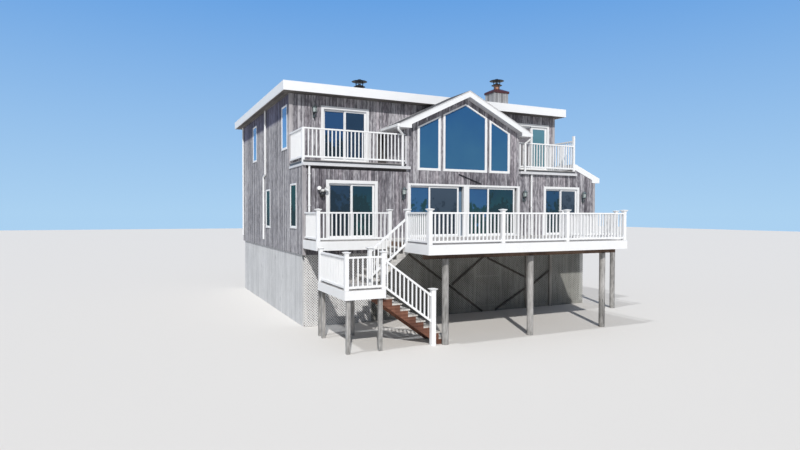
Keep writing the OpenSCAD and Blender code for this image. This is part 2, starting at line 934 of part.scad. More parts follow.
deck_posts = [
    for (i = [0 : 3]) [deck_x + post_out + i * deck_post_step, -deck_out + post_out],
    [deck_x + post_out, stair_post_y], [left_deck_right - post_out, -side_deck_out + post_out],
    [post_out, -side_deck_out + post_out], [deck_right - post_out, -side_deck_out + post_out],
    [side_deck_right - post_out, -side_deck_out + post_out]
];
landing_posts = [
    [post_out, -landing_out + post_out], [landing_w - post_out, -landing_out + post_out],
    [landing_w - post_out, stair_post_y], [post_out, landing_back - post_out]
];
newel_y = flight_front[0] - 5 - newel_w / 2;
newel_top = deck_z - 1420;
newel_cap = 240;

module guard_posts() {
    color("white") place() {
        for (p = deck_posts) guard_post(p[0], p[1], deck_z, deck_z + post_h, post_w, cap_w);
        for (i = [0 : 3])
            guard_post(landing_posts[i][0], landing_posts[i][1], landing_z,
                       landing_z + landing_post_h[i], post_w, cap_w);
        guard_post(newel_x, newel_y, 0, newel_top, newel_w, newel_cap);
    }
}

// A straight guard along x, from x0 to x1, on a floor at z
module guard_run(x0, x1, y, z, h, gap, pitch) {
    span = x1 - x0;
    count = floor(span / pitch);
    first = x0 + (span - (count - 1) * pitch) / 2;
    block([x0, y - rail_w / 2, z + h - rail_t], [x1, y + rail_w / 2, z + h]);
    block([x0, y - rail_t / 2, z + gap], [x1, y + rail_t / 2, z + gap + 60]);
    for (i = [0 : count - 1])
        block([first + i * pitch - baluster_w / 2, y - baluster_w / 2, z + gap + 59],
              [first + i * pitch + baluster_w / 2, y + baluster_w / 2, z + h - rail_t + 1]);
}

// The same guard along y
module guard_run_y(y0, y1, x, z, h, gap, pitch) {
    translate([x, 0, 0]) rotate([0, 0, 90]) guard_run(y0, y1, 0, z, h, gap, pitch);
}

// The same two with the height and gap of the deck guards
module deck_run(x0, x1, y, z, pitch) {
    guard_run(x0, x1, y, z, guard_h, lower_rail_gap, pitch);
}

module deck_run_y(y0, y1, x, z, pitch) {
    guard_run_y(y0, y1, x, z, guard_h, lower_rail_gap, pitch);
}

module deck_guards() {
    front = -deck_out + post_out;
    side_front = -side_deck_out + post_out;
    color("white") place() {
        for (i = [0 : 2])
            deck_run(deck_x + post_w + i * deck_post_step, deck_x + (i + 1) * deck_post_step,
                     front, deck_z, deck_baluster_step);
        deck_run_y(-deck_out + post_w, stair_post_y - post_out, deck_x + post_out,
                   deck_z, deck_baluster_step);
        deck_run_y(-deck_out + post_w, -side_deck_out, deck_right - post_out,
                   deck_z, deck_baluster_step);
        deck_run(post_w, left_deck_right - post_w, side_front, deck_z, baluster_step);
        deck_run(deck_right, side_deck_right - post_w, side_front, deck_z, baluster_step);
        for (x = [post_out, side_deck_right - post_out])
            deck_run_y(-side_deck_out + post_w, -trim_t, x, deck_z, baluster_step);
        deck_run_y(-landing_out + post_w, landing_back - post_w, post_out,
                   landing_z, baluster_step);
        deck_run(post_w, landing_w - post_w, -landing_out + post_out, landing_z, baluster_step);
    }
}

module landing() {
    color("silver") place() {
        block([0, -landing_out, landing_z - board_t], [landing_w, landing_back, landing_z]);
        for (x = [0, landing_w / 2 - 20, landing_w - 40])
            block([x, -landing_out, landing_z - board_t - landing_joist_h],
                  [x + 40, landing_back, landing_z - board_t + 1]);
    }
}

// Stairs: the lower flight runs right from the landing to the ground,
// the upper flight runs right from the landing to the deck

lower_pitch = lower_rise_h / lower_run;
upper_pitch = upper_rise_h / upper_run;
first_tread_z = landing_z - first_drop;

// The saw-toothed outline of a stringer: a step goes down right, or up right
function lower_teeth() = [
    for (i = [0 : lower_treads - 1], k = [0, 1])
        [landing_w + (i + k) * lower_run, first_tread_z - i * lower_rise_h - tread_t]
];
function upper_teeth() = [
    for (i = [1 : upper_rises - 1], k = [0, 1])
        [landing_w + (i - 1 + k) * upper_run, landing_z + i * upper_rise_h - tread_t]
];

module lower_stringer() {
    seat = first_tread_z - tread_t;
    top = seat - lower_drop;
    polygon(concat(
        [[landing_w - 1, top], [landing_w - 1, seat]], lower_teeth(),
        [[landing_w + lower_treads * lower_run, 0], [landing_w + top / lower_pitch, 0]]
    ));
}

module upper_stringer() {
    top = deck_z - upper_rise_h - tread_t - upper_drop;
    polygon(concat(
        [[landing_w, top - upper_pitch * (stair_top_x - landing_w)]], upper_teeth(),
        [[stair_top_x, top]]
    ));
}

// A header under the landing carries the lower flight
module stair_stringers() {
    color("sienna") place() {
        block([landing_w - stringer_t, flight_front[0], first_tread_z - tread_t - lower_drop],
              [landing_w, flight_front[0] + flight_w[0],
               landing_z - board_t - landing_joist_h]);
        for (y = [flight_front[0], flight_front[0] + flight_w[0] - stringer_t])
            along_y(y, y + stringer_t) lower_stringer();
        for (y = [flight_front[1], flight_front[1] + flight_w[1] - stringer_t])
            along_y(y, y + stringer_t) upper_stringer();
    }
}

lower_nosing = 70;
upper_nosing = 20;

module stair_treads() {
    color("lightgray") place() {
        for (i = [0 : lower_treads - 1]) {
            x = landing_w + i * lower_run;
            z = first_tread_z - i * lower_rise_h;
            block([x, flight_front[0], z - tread_t],
                  [x + lower_run + lower_nosing, flight_front[0] + flight_w[0], z]);
        }
        for (i = [1 : upper_rises - 1]) {
            x = landing_w + (i - 1) * upper_run;
            z = landing_z + i * upper_rise_h;
            block([x - upper_nosing, flight_front[1], z - tread_t],
                  [x + upper_run, flight_front[1] + flight_w[1], z]);
        }
    }
}

// A guard on a slope, from x0 to x1: its underside starts at z and climbs with the pitch
module slope_guard(x0, x1, y, z, h, pitch) {
    count = floor((x1 - x0) / stair_baluster_step);
    first = x0 + ((x1 - x0) - (count - 1) * stair_baluster_step) / 2;
    climb = pitch * (x1 - x0);
    along_y(y - rail_w / 2, y + rail_w / 2) polygon([
        [x0, z + h - 70], [x1, z + climb + h - 70], [x1, z + climb + h], [x0, z + h]
    ]);
    along_y(y - rail_t / 2, y + rail_t / 2) polygon([
        [x0, z], [x1, z + climb], [x1, z + climb + 75], [x0, z + 75]
    ]);
    for (i = [0 : count - 1]) {
        x = first + i * stair_baluster_step;
        foot = z + pitch * (x - x0);
        block([x - baluster_w / 2, y - baluster_w / 2, foot + 45],
              [x + baluster_w / 2, y + baluster_w / 2, foot + h - 40]);
    }
}

// Height of the guards' underside above the landing, and their own height
lower_guard = [5, 852];
upper_guard = [224, 863];

module stair_guards() {
    color("white") place() {
        slope_guard(landing_w, newel_x - newel_w / 2, -landing_out + post_out,
                    landing_z + lower_guard[0], lower_guard[1], -lower_pitch);
        slope_guard(landing_w, deck_x - fascia_t, stair_post_y,
                    landing_z + upper_guard[0], upper_guard[1], upper_pitch);
    }
}

// Balconies

// Each floor has a gutter box along its open edges
module balcony_floors() {
    top = wall_z + gutter_h;
    color("gainsboro") place() {
        for (x = [[0, bay_x], [bay_right, side_roof_x]]) {
            block([x[0], 0, wall_z], [x[1], setback, balcony_z]);
            block([x[0], -gutter_out, wall_z], [x[1], 1, top]);
        }
        block([-corner_out, -gutter_out, wall_z], [1, 0, top]);
        block([-corner_out, -1, wall_z], [1, setback, strip_z]);
    }
}

gutter_h = 100;
gutter_out = 150;
// The left balcony's corner post stands out past the wall below, over a strip
corner_out = 40;
strip_z = wall_z + 80;
balcony_z = wall_z + balcony_t;
balcony_top = upper_z + balcony_guard_h - balcony_z;
balcony_gap = 90;
balcony_y = balcony_post / 2;

module balcony_front_guards() {
    p = balcony_post;
    color("white") place() {
        guard_run(p - corner_out, bay_x, balcony_y, balcony_z, balcony_top, balcony_gap,
                  baluster_step);
        guard_run(bay_right, side_roof_x - p, balcony_y, balcony_z, balcony_top,
                  balcony_gap, baluster_step);
    }
}

// The side guards carry the corner posts
module balcony_side_guards() {
    p = balcony_post;
    color("white") place() {
        block([-corner_out, 0, balcony_z], [p - corner_out, p, balcony_z + balcony_top]);
        block([-corner_out, 0, strip_z], [0, p, balcony_z + 1]);
        guard_run_y(p - 1, setback, balcony_y - corner_out, balcony_z, balcony_top,
                    balcony_gap, baluster_step);
        block([side_roof_x - p, 0, balcony_z], [side_roof_x, p, upper_z + tall_post_h]);
        guard_run_y(p - 1, setback - trim_t, side_roof_x - balcony_y, balcony_z,
                    upper_z + tall_guard_h - balcony_z, balcony_gap, baluster_step);
    }
}

// Gutters and downspouts

spout = 75;
gable_gutter = [100, 100];
gable_spout_half = [2848, 2968];
spout_low_z = deck_z - 250;
left_spout_y = [5960, 6420];
front_spout_x = [160, 9880];

// The spout from a gable gutter steps in under the soffit and drops to the balcony gutter
module gable_spout(half) {
    s = spout;
    edge = bay_mid - gable_half;
    x = bay_mid - half;
    gutter_z = gable_end_z - 20 - gable_gutter[1];
    block([edge - gable_gutter[0], -gable_over, gutter_z],
          [edge, setback, gutter_z + gable_gutter[1]]);
    along_y(-s, 0) polygon([
        [edge - s, gutter_z + 1], [edge - s, soffit_z - 40], [x, soffit_z - 190],
        [x, wall_z + gutter_h], [x + s, wall_z + gutter_h], [x + s, soffit_z - 150],
        [edge, soffit_z - 10], [edge, gutter_z + 1]
    ]);
}

module gutters_and_downspouts() {
    s = spout;
    jog_z = wall_z - 20;
    color("white") place() {
        gable_spout(gable_spout_half[0]);
        translate([2 * bay_mid, 0, 0]) mirror([1, 0, 0]) gable_spout(gable_spout_half[1]);
        block([-s, left_spout_y[0], jog_z + s], [0, left_spout_y[0] + s, eave_z]);
        block([-s, left_spout_y[0], jog_z], [0, left_spout_y[1] + s, jog_z + s + 1]);
        block([-s, left_spout_y[1], spout_low_z], [0, left_spout_y[1] + s, jog_z + 1]);
        block([-s, house_d - 120, spout_low_z], [0, house_d - 120 + s, eave_z]);
        for (x = front_spout_x) block([x, -s, deck_z], [x + s, 0, wall_z]);
    }
}

// Wall lanterns: a plate on the wall, an arm, a six-sided cage under a roof, and a loop

lantern_places = [
    [915, setback, deck_z + 4560], [3857, 0, deck_z + 1410],
    [9518, 0, deck_z + 1410], [12794, 0, deck_z + 1410]
];
lantern_out = 165;
cage_h = 265;

module lantern() {
    translate([-55, -20, 120]) cube([110, 20, 270]);
    translate([-12, -lantern_out, 330]) cube([24, lantern_out - 19, 30]);
    translate([0, -lantern_out, 0]) {
        translate([0, 0, 20]) cylinder(d = 190, h = cage_h - 20, $fn = 6);
        cylinder(d = 110, h = 21);
        translate([0, 0, cage_h - 1]) cylinder(d1 = 260, d2 = 60, h = 121);
        translate([0, 0, cage_h + 119]) cylinder(d = 40, h = 90);
    }
}

module wall_lanterns() {
    color("darkslategray") place()
        for (p = lantern_places) translate(p) lantern();
}

piles();
skirt_walls();
skirt_lattice();
main_floor();
upper_floor();
front_piers();
front_wall_bands();
left_wall();
back_wall();
right_walls();
upper_front_wall();
bay_side_walls();
gable_wall();
flat_roof();
roof_trim();
gable_roof();
side_roof();
chimney_chase();
chimney_cap();
roof_vents();
window_trim();
window_glass();
door_jambs();
door_heads_and_sills();
upper_door_frames();
fixed_door_panels();
left_door_leaf();
middle_left_door_leaf();
middle_right_door_leaf();
right_door_leaf();
deck_boards();
deck_joists();
deck_beams();
deck_fascia();
guard_posts();
deck_guards();
landing();
stair_stringers();
stair_treads();
stair_guards();
balcony_floors();
balcony_front_guards();
balcony_side_guards();
gutters_and_downspouts();
wall_lanterns();
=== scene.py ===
import json
import math

import bpy
from mathutils import Matrix, Vector

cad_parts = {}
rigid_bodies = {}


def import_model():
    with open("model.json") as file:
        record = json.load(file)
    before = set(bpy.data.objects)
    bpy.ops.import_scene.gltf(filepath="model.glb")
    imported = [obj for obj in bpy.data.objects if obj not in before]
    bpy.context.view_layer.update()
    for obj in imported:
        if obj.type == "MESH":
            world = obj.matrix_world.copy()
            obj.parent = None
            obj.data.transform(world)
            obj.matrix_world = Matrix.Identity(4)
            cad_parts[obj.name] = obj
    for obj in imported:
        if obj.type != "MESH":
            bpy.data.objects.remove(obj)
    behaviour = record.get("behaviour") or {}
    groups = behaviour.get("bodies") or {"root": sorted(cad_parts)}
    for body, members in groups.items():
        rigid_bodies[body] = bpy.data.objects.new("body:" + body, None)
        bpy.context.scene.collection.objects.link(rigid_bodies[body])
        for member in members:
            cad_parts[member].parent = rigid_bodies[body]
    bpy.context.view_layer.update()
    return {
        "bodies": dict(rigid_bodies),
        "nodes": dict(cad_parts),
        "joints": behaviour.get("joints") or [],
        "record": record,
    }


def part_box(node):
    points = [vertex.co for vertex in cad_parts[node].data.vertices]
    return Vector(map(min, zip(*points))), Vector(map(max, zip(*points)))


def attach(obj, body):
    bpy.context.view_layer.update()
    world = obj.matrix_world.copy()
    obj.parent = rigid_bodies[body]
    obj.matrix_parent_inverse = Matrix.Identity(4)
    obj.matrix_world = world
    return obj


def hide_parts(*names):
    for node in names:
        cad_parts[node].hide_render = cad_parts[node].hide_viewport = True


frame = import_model()
nodes = frame["nodes"]

# The house in metres: x from the left front corner of the lower storey, y into the house, z up
DECK = 3.10
UPPER = 5.97
WALL_TOP = 5.70
SIDING_LOW = 2.55
BUMP_LOW = 2.80
EAVE = 8.555
ROOF = 8.905
HOUSE_W = 13.50
UPPER_W = 12.72
HOUSE_D = 11.55
SETBACK = 1.82
SIDE_ROOF_X = 12.37
SIDE_EAVE_X = 13.76
SKIRT_RIGHT = 12.95
BAY_LEFT = 3.99
BAY_RIGHT = 9.29
BAY_MID = 6.64
BAY_TOP = 8.70
RIDGE = 8.87
RIDGE_PITCH = 0.487
RAKE = 0.245
GABLE_HALF = 3.04
BAY_WALL_TOP = 7.2345
SIDE_PITCH = 0.422
BOARD = 0.018
BOARD_WIDTH = 0.142
WALK = 5.90
DOOR_TOP = 5.13
UPPER_DOOR_LOW = 6.07
UPPER_DOOR_TOP = 8.11
ROOF_LEFT, ROOF_RIGHT = -0.36, 12.95
ROOF_FRONT, ROOF_BACK = 1.305, 12.065
STILE = 0.06
SMALL_LEAF = 0.915

# Windows: near edge, far edge, bottom and top of each opening
LEFT_WINDOWS = [(8.07, 8.93, 6.55, 8.17), (2.23, 3.02, 6.55, 8.17),
                (5.19, 5.94, 3.44, 5.02), (0.90, 1.68, 3.52, 5.08)]
RIGHT_UPPER_WINDOWS = [(8.07, 8.93, 6.55, 8.17), (3.60, 4.46, 6.55, 8.17)]
RIGHT_LOWER_WINDOWS = [(8.07, 8.85, 3.52, 5.08), (3.60, 4.38, 3.52, 5.08)]
BACK_WINDOWS = [(x, x + 0.86, 6.55, 8.17) for x in (1.5, 5.9, 10.3)]
BACK_WINDOWS += [(x, x + 0.78, 3.52, 5.08) for x in (1.5, 5.9, 10.3)]
LOWER_DOORS = [(0.905, 2.735), (4.15, 9.24), (10.695, 12.525)]
UPPER_DOORS = [(1.295, 3.125), (10.51, 12.34)]


def house(x, y, z):
    """A point of the house as a point of the CAD frame."""
    return Vector((x - 6.70, y - 3.655, z))


def side_under(x):
    return 5.375 + SIDE_PITCH * (SIDE_EAVE_X - x)


# Modelling steps

def deselect():
    if bpy.context.object and bpy.context.object.mode != "OBJECT":
        bpy.ops.object.mode_set(mode="OBJECT")
    bpy.ops.object.select_all(action="DESELECT")


def pick(*pieces):
    deselect()
    for piece in pieces:
        piece.select_set(True)
    bpy.context.view_layer.objects.active = pieces[0]


def put_in(name, data):
    """Puts a curve, a lamp or a camera into the scene."""
    item = bpy.data.objects.new(name, data)
    bpy.context.scene.collection.objects.link(item)
    return item


def settle(name):
    """Names the active piece and puts its place into its mesh."""
    piece = bpy.context.object
    piece.name = name
    piece.data.name = name
    bpy.ops.object.transform_apply(location=True, rotation=True, scale=True)
    return piece


def block(name, low, high):
    """A box between two corners."""
    low, high = Vector(low), Vector(high)
    deselect()
    bpy.ops.mesh.primitive_cube_add(size=1, calc_uvs=False, location=(low + high) / 2,
                                    scale=high - low)
    return settle(name)


def rod(name, radius, low, high, sides=12, top_radius=None):
    """An upright round bar or cone between two heights over one point."""
    deselect()
    middle = (Vector(low) + Vector(high)) / 2
    bpy.ops.mesh.primitive_cone_add(vertices=sides, radius1=radius,
                                    radius2=radius if top_radius is None else top_radius,
                                    depth=high[2] - low[2], location=middle, calc_uvs=False)
    return settle(name)


def apply(piece, modifier):
    pick(piece)
    bpy.ops.object.modifier_apply(modifier=modifier.name)


def soften(piece, width, segments=1):
    edges = piece.modifiers.new("edges", "BEVEL")
    edges.width = width
    edges.segments = segments
    edges.limit_method = "ANGLE"
    edges.angle_limit = math.radians(40)
    apply(piece, edges)


def repeat(piece, step, count):
    row = piece.modifiers.new("row", "ARRAY")
    row.use_relative_offset = False
    row.use_constant_offset = True
    row.constant_offset_displace = step
    row.count = count
    apply(piece, row)


def edit(piece):
    """Enters edit mode with the whole piece selected."""
    pick(piece)
    bpy.ops.object.mode_set(mode="EDIT")
    bpy.ops.mesh.select_all(action="SELECT")


def edit_faces(piece, wanted):
    """Enters edit mode with only those faces selected whose normals are wanted."""
    pick(piece)
    bpy.ops.object.mode_set(mode="EDIT")
    bpy.ops.mesh.select_mode(type="FACE")
    bpy.ops.mesh.select_all(action="DESELECT")
    bpy.ops.object.mode_set(mode="OBJECT")
    for face in piece.data.polygons:
        face.select = wanted(face.normal)
    bpy.ops.object.mode_set(mode="EDIT")


def leave_edit():
    bpy.ops.object.mode_set(mode="OBJECT")


def turn(angle, axis, centre=(0, 0, 0)):
    bpy.ops.transform.rotate(value=angle, orient_axis=axis, center_override=centre)


def move(*shift):
    bpy.ops.transform.translate(value=shift)


def saw(piece, point, normal):
    """Cuts the piece by a plane and keeps what lies behind it."""
    edit(piece)
    bpy.ops.mesh.bisect(plane_co=point, plane_no=normal, use_fill=True, clear_outer=True)
    leave_edit()


def join(name, *pieces):
    pick(*pieces)
    if len(pieces) > 1:
        bpy.ops.object.join()
    return settle(name)


def cut_out(piece, *cutters):
    tool = join("cutter", *cutters)
    hole = piece.modifiers.new("hole", "BOOLEAN")
    hole.operation = "DIFFERENCE"
    hole.solver = "EXACT"
    hole.object = tool
    apply(piece, hole)
    bpy.data.objects.remove(tool)


def copy_of(piece, name):
    pick(piece)
    bpy.ops.object.duplicate(linked=False)
    return settle(name)


def pipe(name, points, radius, resolution=2):
    """A round pipe along a line of points."""
    deselect()
    line = bpy.data.curves.new(name, "CURVE")
    line.dimensions = "3D"
    run = line.splines.new("POLY")
    run.points.add(len(points) - 1)
    for place, point in zip(points, run.points):
        point.co = (place[0], place[1], place[2], 1)
    line.bevel_depth = radius
    line.bevel_resolution = resolution
    line.use_fill_caps = True
    pick(put_in(name, line))
    bpy.ops.object.convert(target="MESH")
    return settle(name)


def stack(x, y, z, *rows):
    """Round bars over one point: a name, a radius and two heights each, then rod's options."""
    return [rod(name, radius, house(x, y, z + low), house(x, y, z + high), *options)
            for name, radius, low, high, *options in rows]


def open_top(piece):
    """Enters edit mode with only the faces that look up selected."""
    edit_faces(piece, lambda normal: normal.z > 0.9)


def inset(thickness, up):
    """Insets the selected face and moves it up."""
    bpy.ops.mesh.inset(thickness=thickness)
    move(0, 0, up)


def trough(name, low, high, wall=0.008):
    """An open gutter: a block whose top face is inset and pushed down."""
    piece = block(name, low, high)
    open_top(piece)
    inset(wall, wall - (high[2] - low[2]))
    leave_edit()
    soften(piece, 0.003)
    return piece


def outwards(piece):
    """Turns the faces of a mirrored piece outwards again."""
    edit(piece)
    bpy.ops.mesh.normals_make_consistent(inside=False)
    leave_edit()


def ring(name, low, high, width, axis, bevel=0.004):
    """A frame with an opening through it, along one axis: both faces inset and bridged."""
    piece = block(name, low, high)
    edit_faces(piece, lambda normal: abs(normal[axis]) > 0.9)
    bpy.ops.mesh.inset(thickness=width, use_individual=True)
    bpy.ops.mesh.bridge_edge_loops()
    leave_edit()
    soften(piece, bevel)
    return piece


def map_boards(piece, along, across, start, pitch, unit=1):
    """Numbers the boards in a UV map: units along the grain, and boards across it."""
    mesh = piece.data
    while mesh.uv_layers:
        mesh.uv_layers.remove(mesh.uv_layers[0])
    layer = mesh.uv_layers.new(name="boards")
    for loop in mesh.loops:
        place = mesh.vertices[loop.vertex_index].co
        layer.data[loop.index].uv = (place[along] / unit, (place[across] - start) / pitch)


def finish(piece, material, body="house", replaces=()):
    piece.data.materials.clear()
    piece.data.materials.append(material)
    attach(piece, body)
    if replaces:
        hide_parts(*replaces)
    return piece


# Shader groups

def new_group(name, inputs, outputs):
    tree = bpy.data.node_groups.new(name, "ShaderNodeTree")
    for label, kind, value in inputs:
        socket = tree.interface.new_socket(name=label, in_out="INPUT", socket_type=kind)
        if value is not None:
            socket.default_value = value
    for label, kind in outputs:
        tree.interface.new_socket(name=label, in_out="OUTPUT", socket_type=kind)
    return tree, tree.nodes.new("NodeGroupInput"), tree.nodes.new("NodeGroupOutput")


def feed(tree, socket, value):
    """Puts a number, a colour or the output of another node into a socket."""
    if isinstance(value, (int, float)):
        socket.default_value = value
    elif isinstance(value, tuple):
        socket.default_value = value + (1,) if len(value) == 3 else value
    else:
        tree.links.new(value, socket)


def add_math(tree, operation, a, b=None):
    node = tree.nodes.new("ShaderNodeMath")
    node.operation = operation
    feed(tree, node.inputs[0], a)
    if b is not None:
        feed(tree, node.inputs[1], b)
    return node.outputs[0]


def add_up(tree, total, *others):
    for other in others:
        total = add_math(tree, "ADD", total, other)
    return total


def add_noise(tree, vector, scale, stretch=(1, 1, 1), detail=3.0, roughness=0.5):
    """A noise stretched along the axes; returns its value from 0 to 1."""
    mapping = tree.nodes.new("ShaderNodeMapping")
    mapping.inputs["Scale"].default_value = stretch
    tree.links.new(vector, mapping.inputs["Vector"])
    noise = tree.nodes.new("ShaderNodeTexNoise")
    noise.inputs["Scale"].default_value = scale
    noise.inputs["Detail"].default_value = detail
    noise.inputs["Roughness"].default_value = roughness
    tree.links.new(mapping.outputs[0], noise.inputs["Vector"])
    return noise.outputs["Fac"]


def add_chance(tree, value, dimensions="1D"):
    """A random value from 0 to 1 for each number or, in 2D, for each pair of numbers."""
    node = tree.nodes.new("ShaderNodeTexWhiteNoise")
    node.noise_dimensions = dimensions
    tree.links.new(value, node.inputs["W" if dimensions == "1D" else "Vector"])
    return node.outputs["Value"]


def add_mix(tree, factor, a, b, blend="MIX"):
    node = tree.nodes.new("ShaderNodeMix")
    node.data_type = "RGBA"
    node.blend_type = blend
    for index, value in ((0, factor), (6, a), (7, b)):
        feed(tree, node.inputs[index], value)
    return node.outputs[2]


def add_range(tree, value, low, high, to_low=0.0, to_high=1.0):
    """Maps a value from one range to another and keeps it inside."""
    node = tree.nodes.new("ShaderNodeMapRange")
    tree.links.new(value, node.inputs["Value"])
    for label, number in (("From Min", low), ("From Max", high), ("To Min", to_low),
                          ("To Max", to_high)):
        node.inputs[label].default_value = number
    return node.outputs[0]


def make_grain_group():
    """Long streaks and fine fibres along X of the vector, in metres."""
    tree, given, out = new_group("wood_grain", [("Vector", "NodeSocketVector", None)],
                                 [("Streak", "NodeSocketFloat"), ("Fibre", "NodeSocketFloat"),
                                  ("Knot", "NodeSocketFloat")])
    vector = given.outputs["Vector"]
    streak = add_noise(tree, vector, 1.0, (0.9, 22, 22), 6, 0.62)
    fibre = add_noise(tree, vector, 1.0, (5, 170, 170), 4, 0.6)
    knot = add_noise(tree, vector, 1.0, (2.6, 11, 11), 1, 0.4)
    tree.links.new(streak, out.inputs["Streak"])
    tree.links.new(fibre, out.inputs["Fibre"])
    tree.links.new(add_range(tree, knot, 0.72, 0.80), out.inputs["Knot"])
    return tree


def make_board_group():
    """Splits the boards map: a grain vector that differs on each board, and a tone for each."""
    tree, given, out = new_group("board_split",
                                 [("Map", "NodeSocketVector", None),
                                  ("Width", "NodeSocketFloat", 0.14)],
                                 [("Vector", "NodeSocketVector"), ("Tone", "NodeSocketFloat"),
                                  ("Tint", "NodeSocketFloat")])
    parts = tree.nodes.new("ShaderNodeSeparateXYZ")
    tree.links.new(given.outputs["Map"], parts.inputs[0])
    along, across = parts.outputs[0], parts.outputs[1]
    number = add_math(tree, "FLOOR", across)
    chance = add_chance(tree, number)
    vector = tree.nodes.new("ShaderNodeCombineXYZ")
    for i, value in enumerate((add_up(tree, along, add_math(tree, "MULTIPLY", chance, 19.0)),
                               add_math(tree, "MULTIPLY", across, given.outputs["Width"]),
                               add_math(tree, "MULTIPLY", number, 0.37))):
        tree.links.new(value, vector.inputs[i])
    tree.links.new(vector.outputs[0], out.inputs["Vector"])
    tree.links.new(chance, out.inputs["Tone"])
    tree.links.new(add_chance(tree, add_math(tree, "ADD", number, 371.5)), out.inputs["Tint"])
    return tree


def make_weather_group():
    """Slow patches and downward runs over the whole house, from its own coordinates."""
    tree, given, out = new_group("weathering", [("Vector", "NodeSocketVector", None)],
                                 [("Patch", "NodeSocketFloat"), ("Run", "NodeSocketFloat")])
    vector = given.outputs["Vector"]
    tree.links.new(add_noise(tree, vector, 0.45, (1, 1, 1), 4, 0.6), out.inputs["Patch"])
    tree.links.new(add_noise(tree, vector, 1.0, (7, 7, 0.35), 4, 0.6), out.inputs["Run"])
    return tree


def make_paint_group():
    """Paint or vinyl with faint dirt, thin patches and a slightly uneven skin."""
    tree, given, out = new_group("paint_wear",
                                 [("Vector", "NodeSocketVector", None),
                                  ("Clean", "NodeSocketColor", (0.8, 0.8, 0.8, 1)),
                                  ("Dirt", "NodeSocketColor", (0.4, 0.4, 0.38, 1)),
                                  ("Amount", "NodeSocketFloat", 0.3)],
                                 [("Color", "NodeSocketColor"), ("Roughness", "NodeSocketFloat"),
                                  ("Height", "NodeSocketFloat")])
    vector = given.outputs["Vector"]
    cloud = add_noise(tree, vector, 1.7, (1, 1, 0.6), 5, 0.65)
    speck = add_noise(tree, vector, 38, (1, 1, 1), 3, 0.6)
    runs = add_noise(tree, vector, 1.0, (16, 16, 0.7), 3, 0.6)
    dirt = add_math(tree, "MULTIPLY", add_range(tree, cloud, 0.45, 0.75),
                    add_range(tree, speck, 0.35, 0.7))
    dirt = add_math(tree, "ADD", dirt, add_range(tree, runs, 0.58, 0.85, 0, 0.6))
    dirt = add_math(tree, "MULTIPLY", dirt, given.outputs["Amount"])
    tree.links.new(add_mix(tree, dirt, given.outputs["Clean"], given.outputs["Dirt"]),
                   out.inputs["Color"])
    tree.links.new(add_range(tree, cloud, 0.3, 0.7, 0.38, 0.56), out.inputs["Roughness"])
    tree.links.new(add_math(tree, "ADD", speck, cloud), out.inputs["Height"])
    return tree


GRAIN = make_grain_group()
BOARDS = make_board_group()
WEATHER = make_weather_group()
PAINT = make_paint_group()


def use_group(tree, group, vector):
    """A shader group whose first input takes the vector."""
    node = tree.nodes.new("ShaderNodeGroup")
    node.node_tree = group
    tree.links.new(vector, node.inputs[0])
    return node


def new_material(name):
    material = bpy.data.materials.new(name)
    material.use_nodes = True
    return material, material.node_tree, material.node_tree.nodes["Principled BSDF"]


def coordinates(tree, kind="Object"):
    return tree.nodes.new("ShaderNodeTexCoord").outputs[kind]


def place_along(tree, axis, kind="Object"):
    """One part of the coordinates: 0, 1 or 2 for x, y or z."""
    parts = tree.nodes.new("ShaderNodeSeparateXYZ")
    tree.links.new(coordinates(tree, kind), parts.inputs[0])
    return parts.outputs[axis]


def add_surface(tree, shader, colour, roughness, height, strength, distance):
    """Gives the main shader its colour, roughness and bump."""
    feed(tree, shader.inputs["Base Color"], colour)
    feed(tree, shader.inputs["Roughness"], roughness)
    bump = tree.nodes.new("ShaderNodeBump")
    bump.inputs["Strength"].default_value = strength
    bump.inputs["Distance"].default_value = distance
    tree.links.new(height, bump.inputs["Height"])
    tree.links.new(bump.outputs[0], shader.inputs["Normal"])


def turned(tree, vector, along):
    """Turns Object coordinates so that X runs along the grain."""
    if along == "x":
        return vector
    parts = tree.nodes.new("ShaderNodeSeparateXYZ")
    tree.links.new(vector, parts.inputs[0])
    whole = tree.nodes.new("ShaderNodeCombineXYZ")
    order = (1, 0, 2) if along == "y" else (2, 0, 1)
    for i, j in enumerate(order):
        tree.links.new(parts.outputs[j], whole.inputs[i])
    return whole.outputs[0]


def add_ramp(tree, value, dark, middle, light):
    ramp = tree.nodes.new("ShaderNodeValToRGB")
    ramp.color_ramp.elements[0].color = dark + (1,)
    ramp.color_ramp.elements[0].position = 0.05
    ramp.color_ramp.elements[1].color = light + (1,)
    ramp.color_ramp.elements[1].position = 0.98
    ramp.color_ramp.elements.new(0.5).color = middle + (1,)
    tree.links.new(value, ramp.inputs[0])
    return ramp.outputs[0]


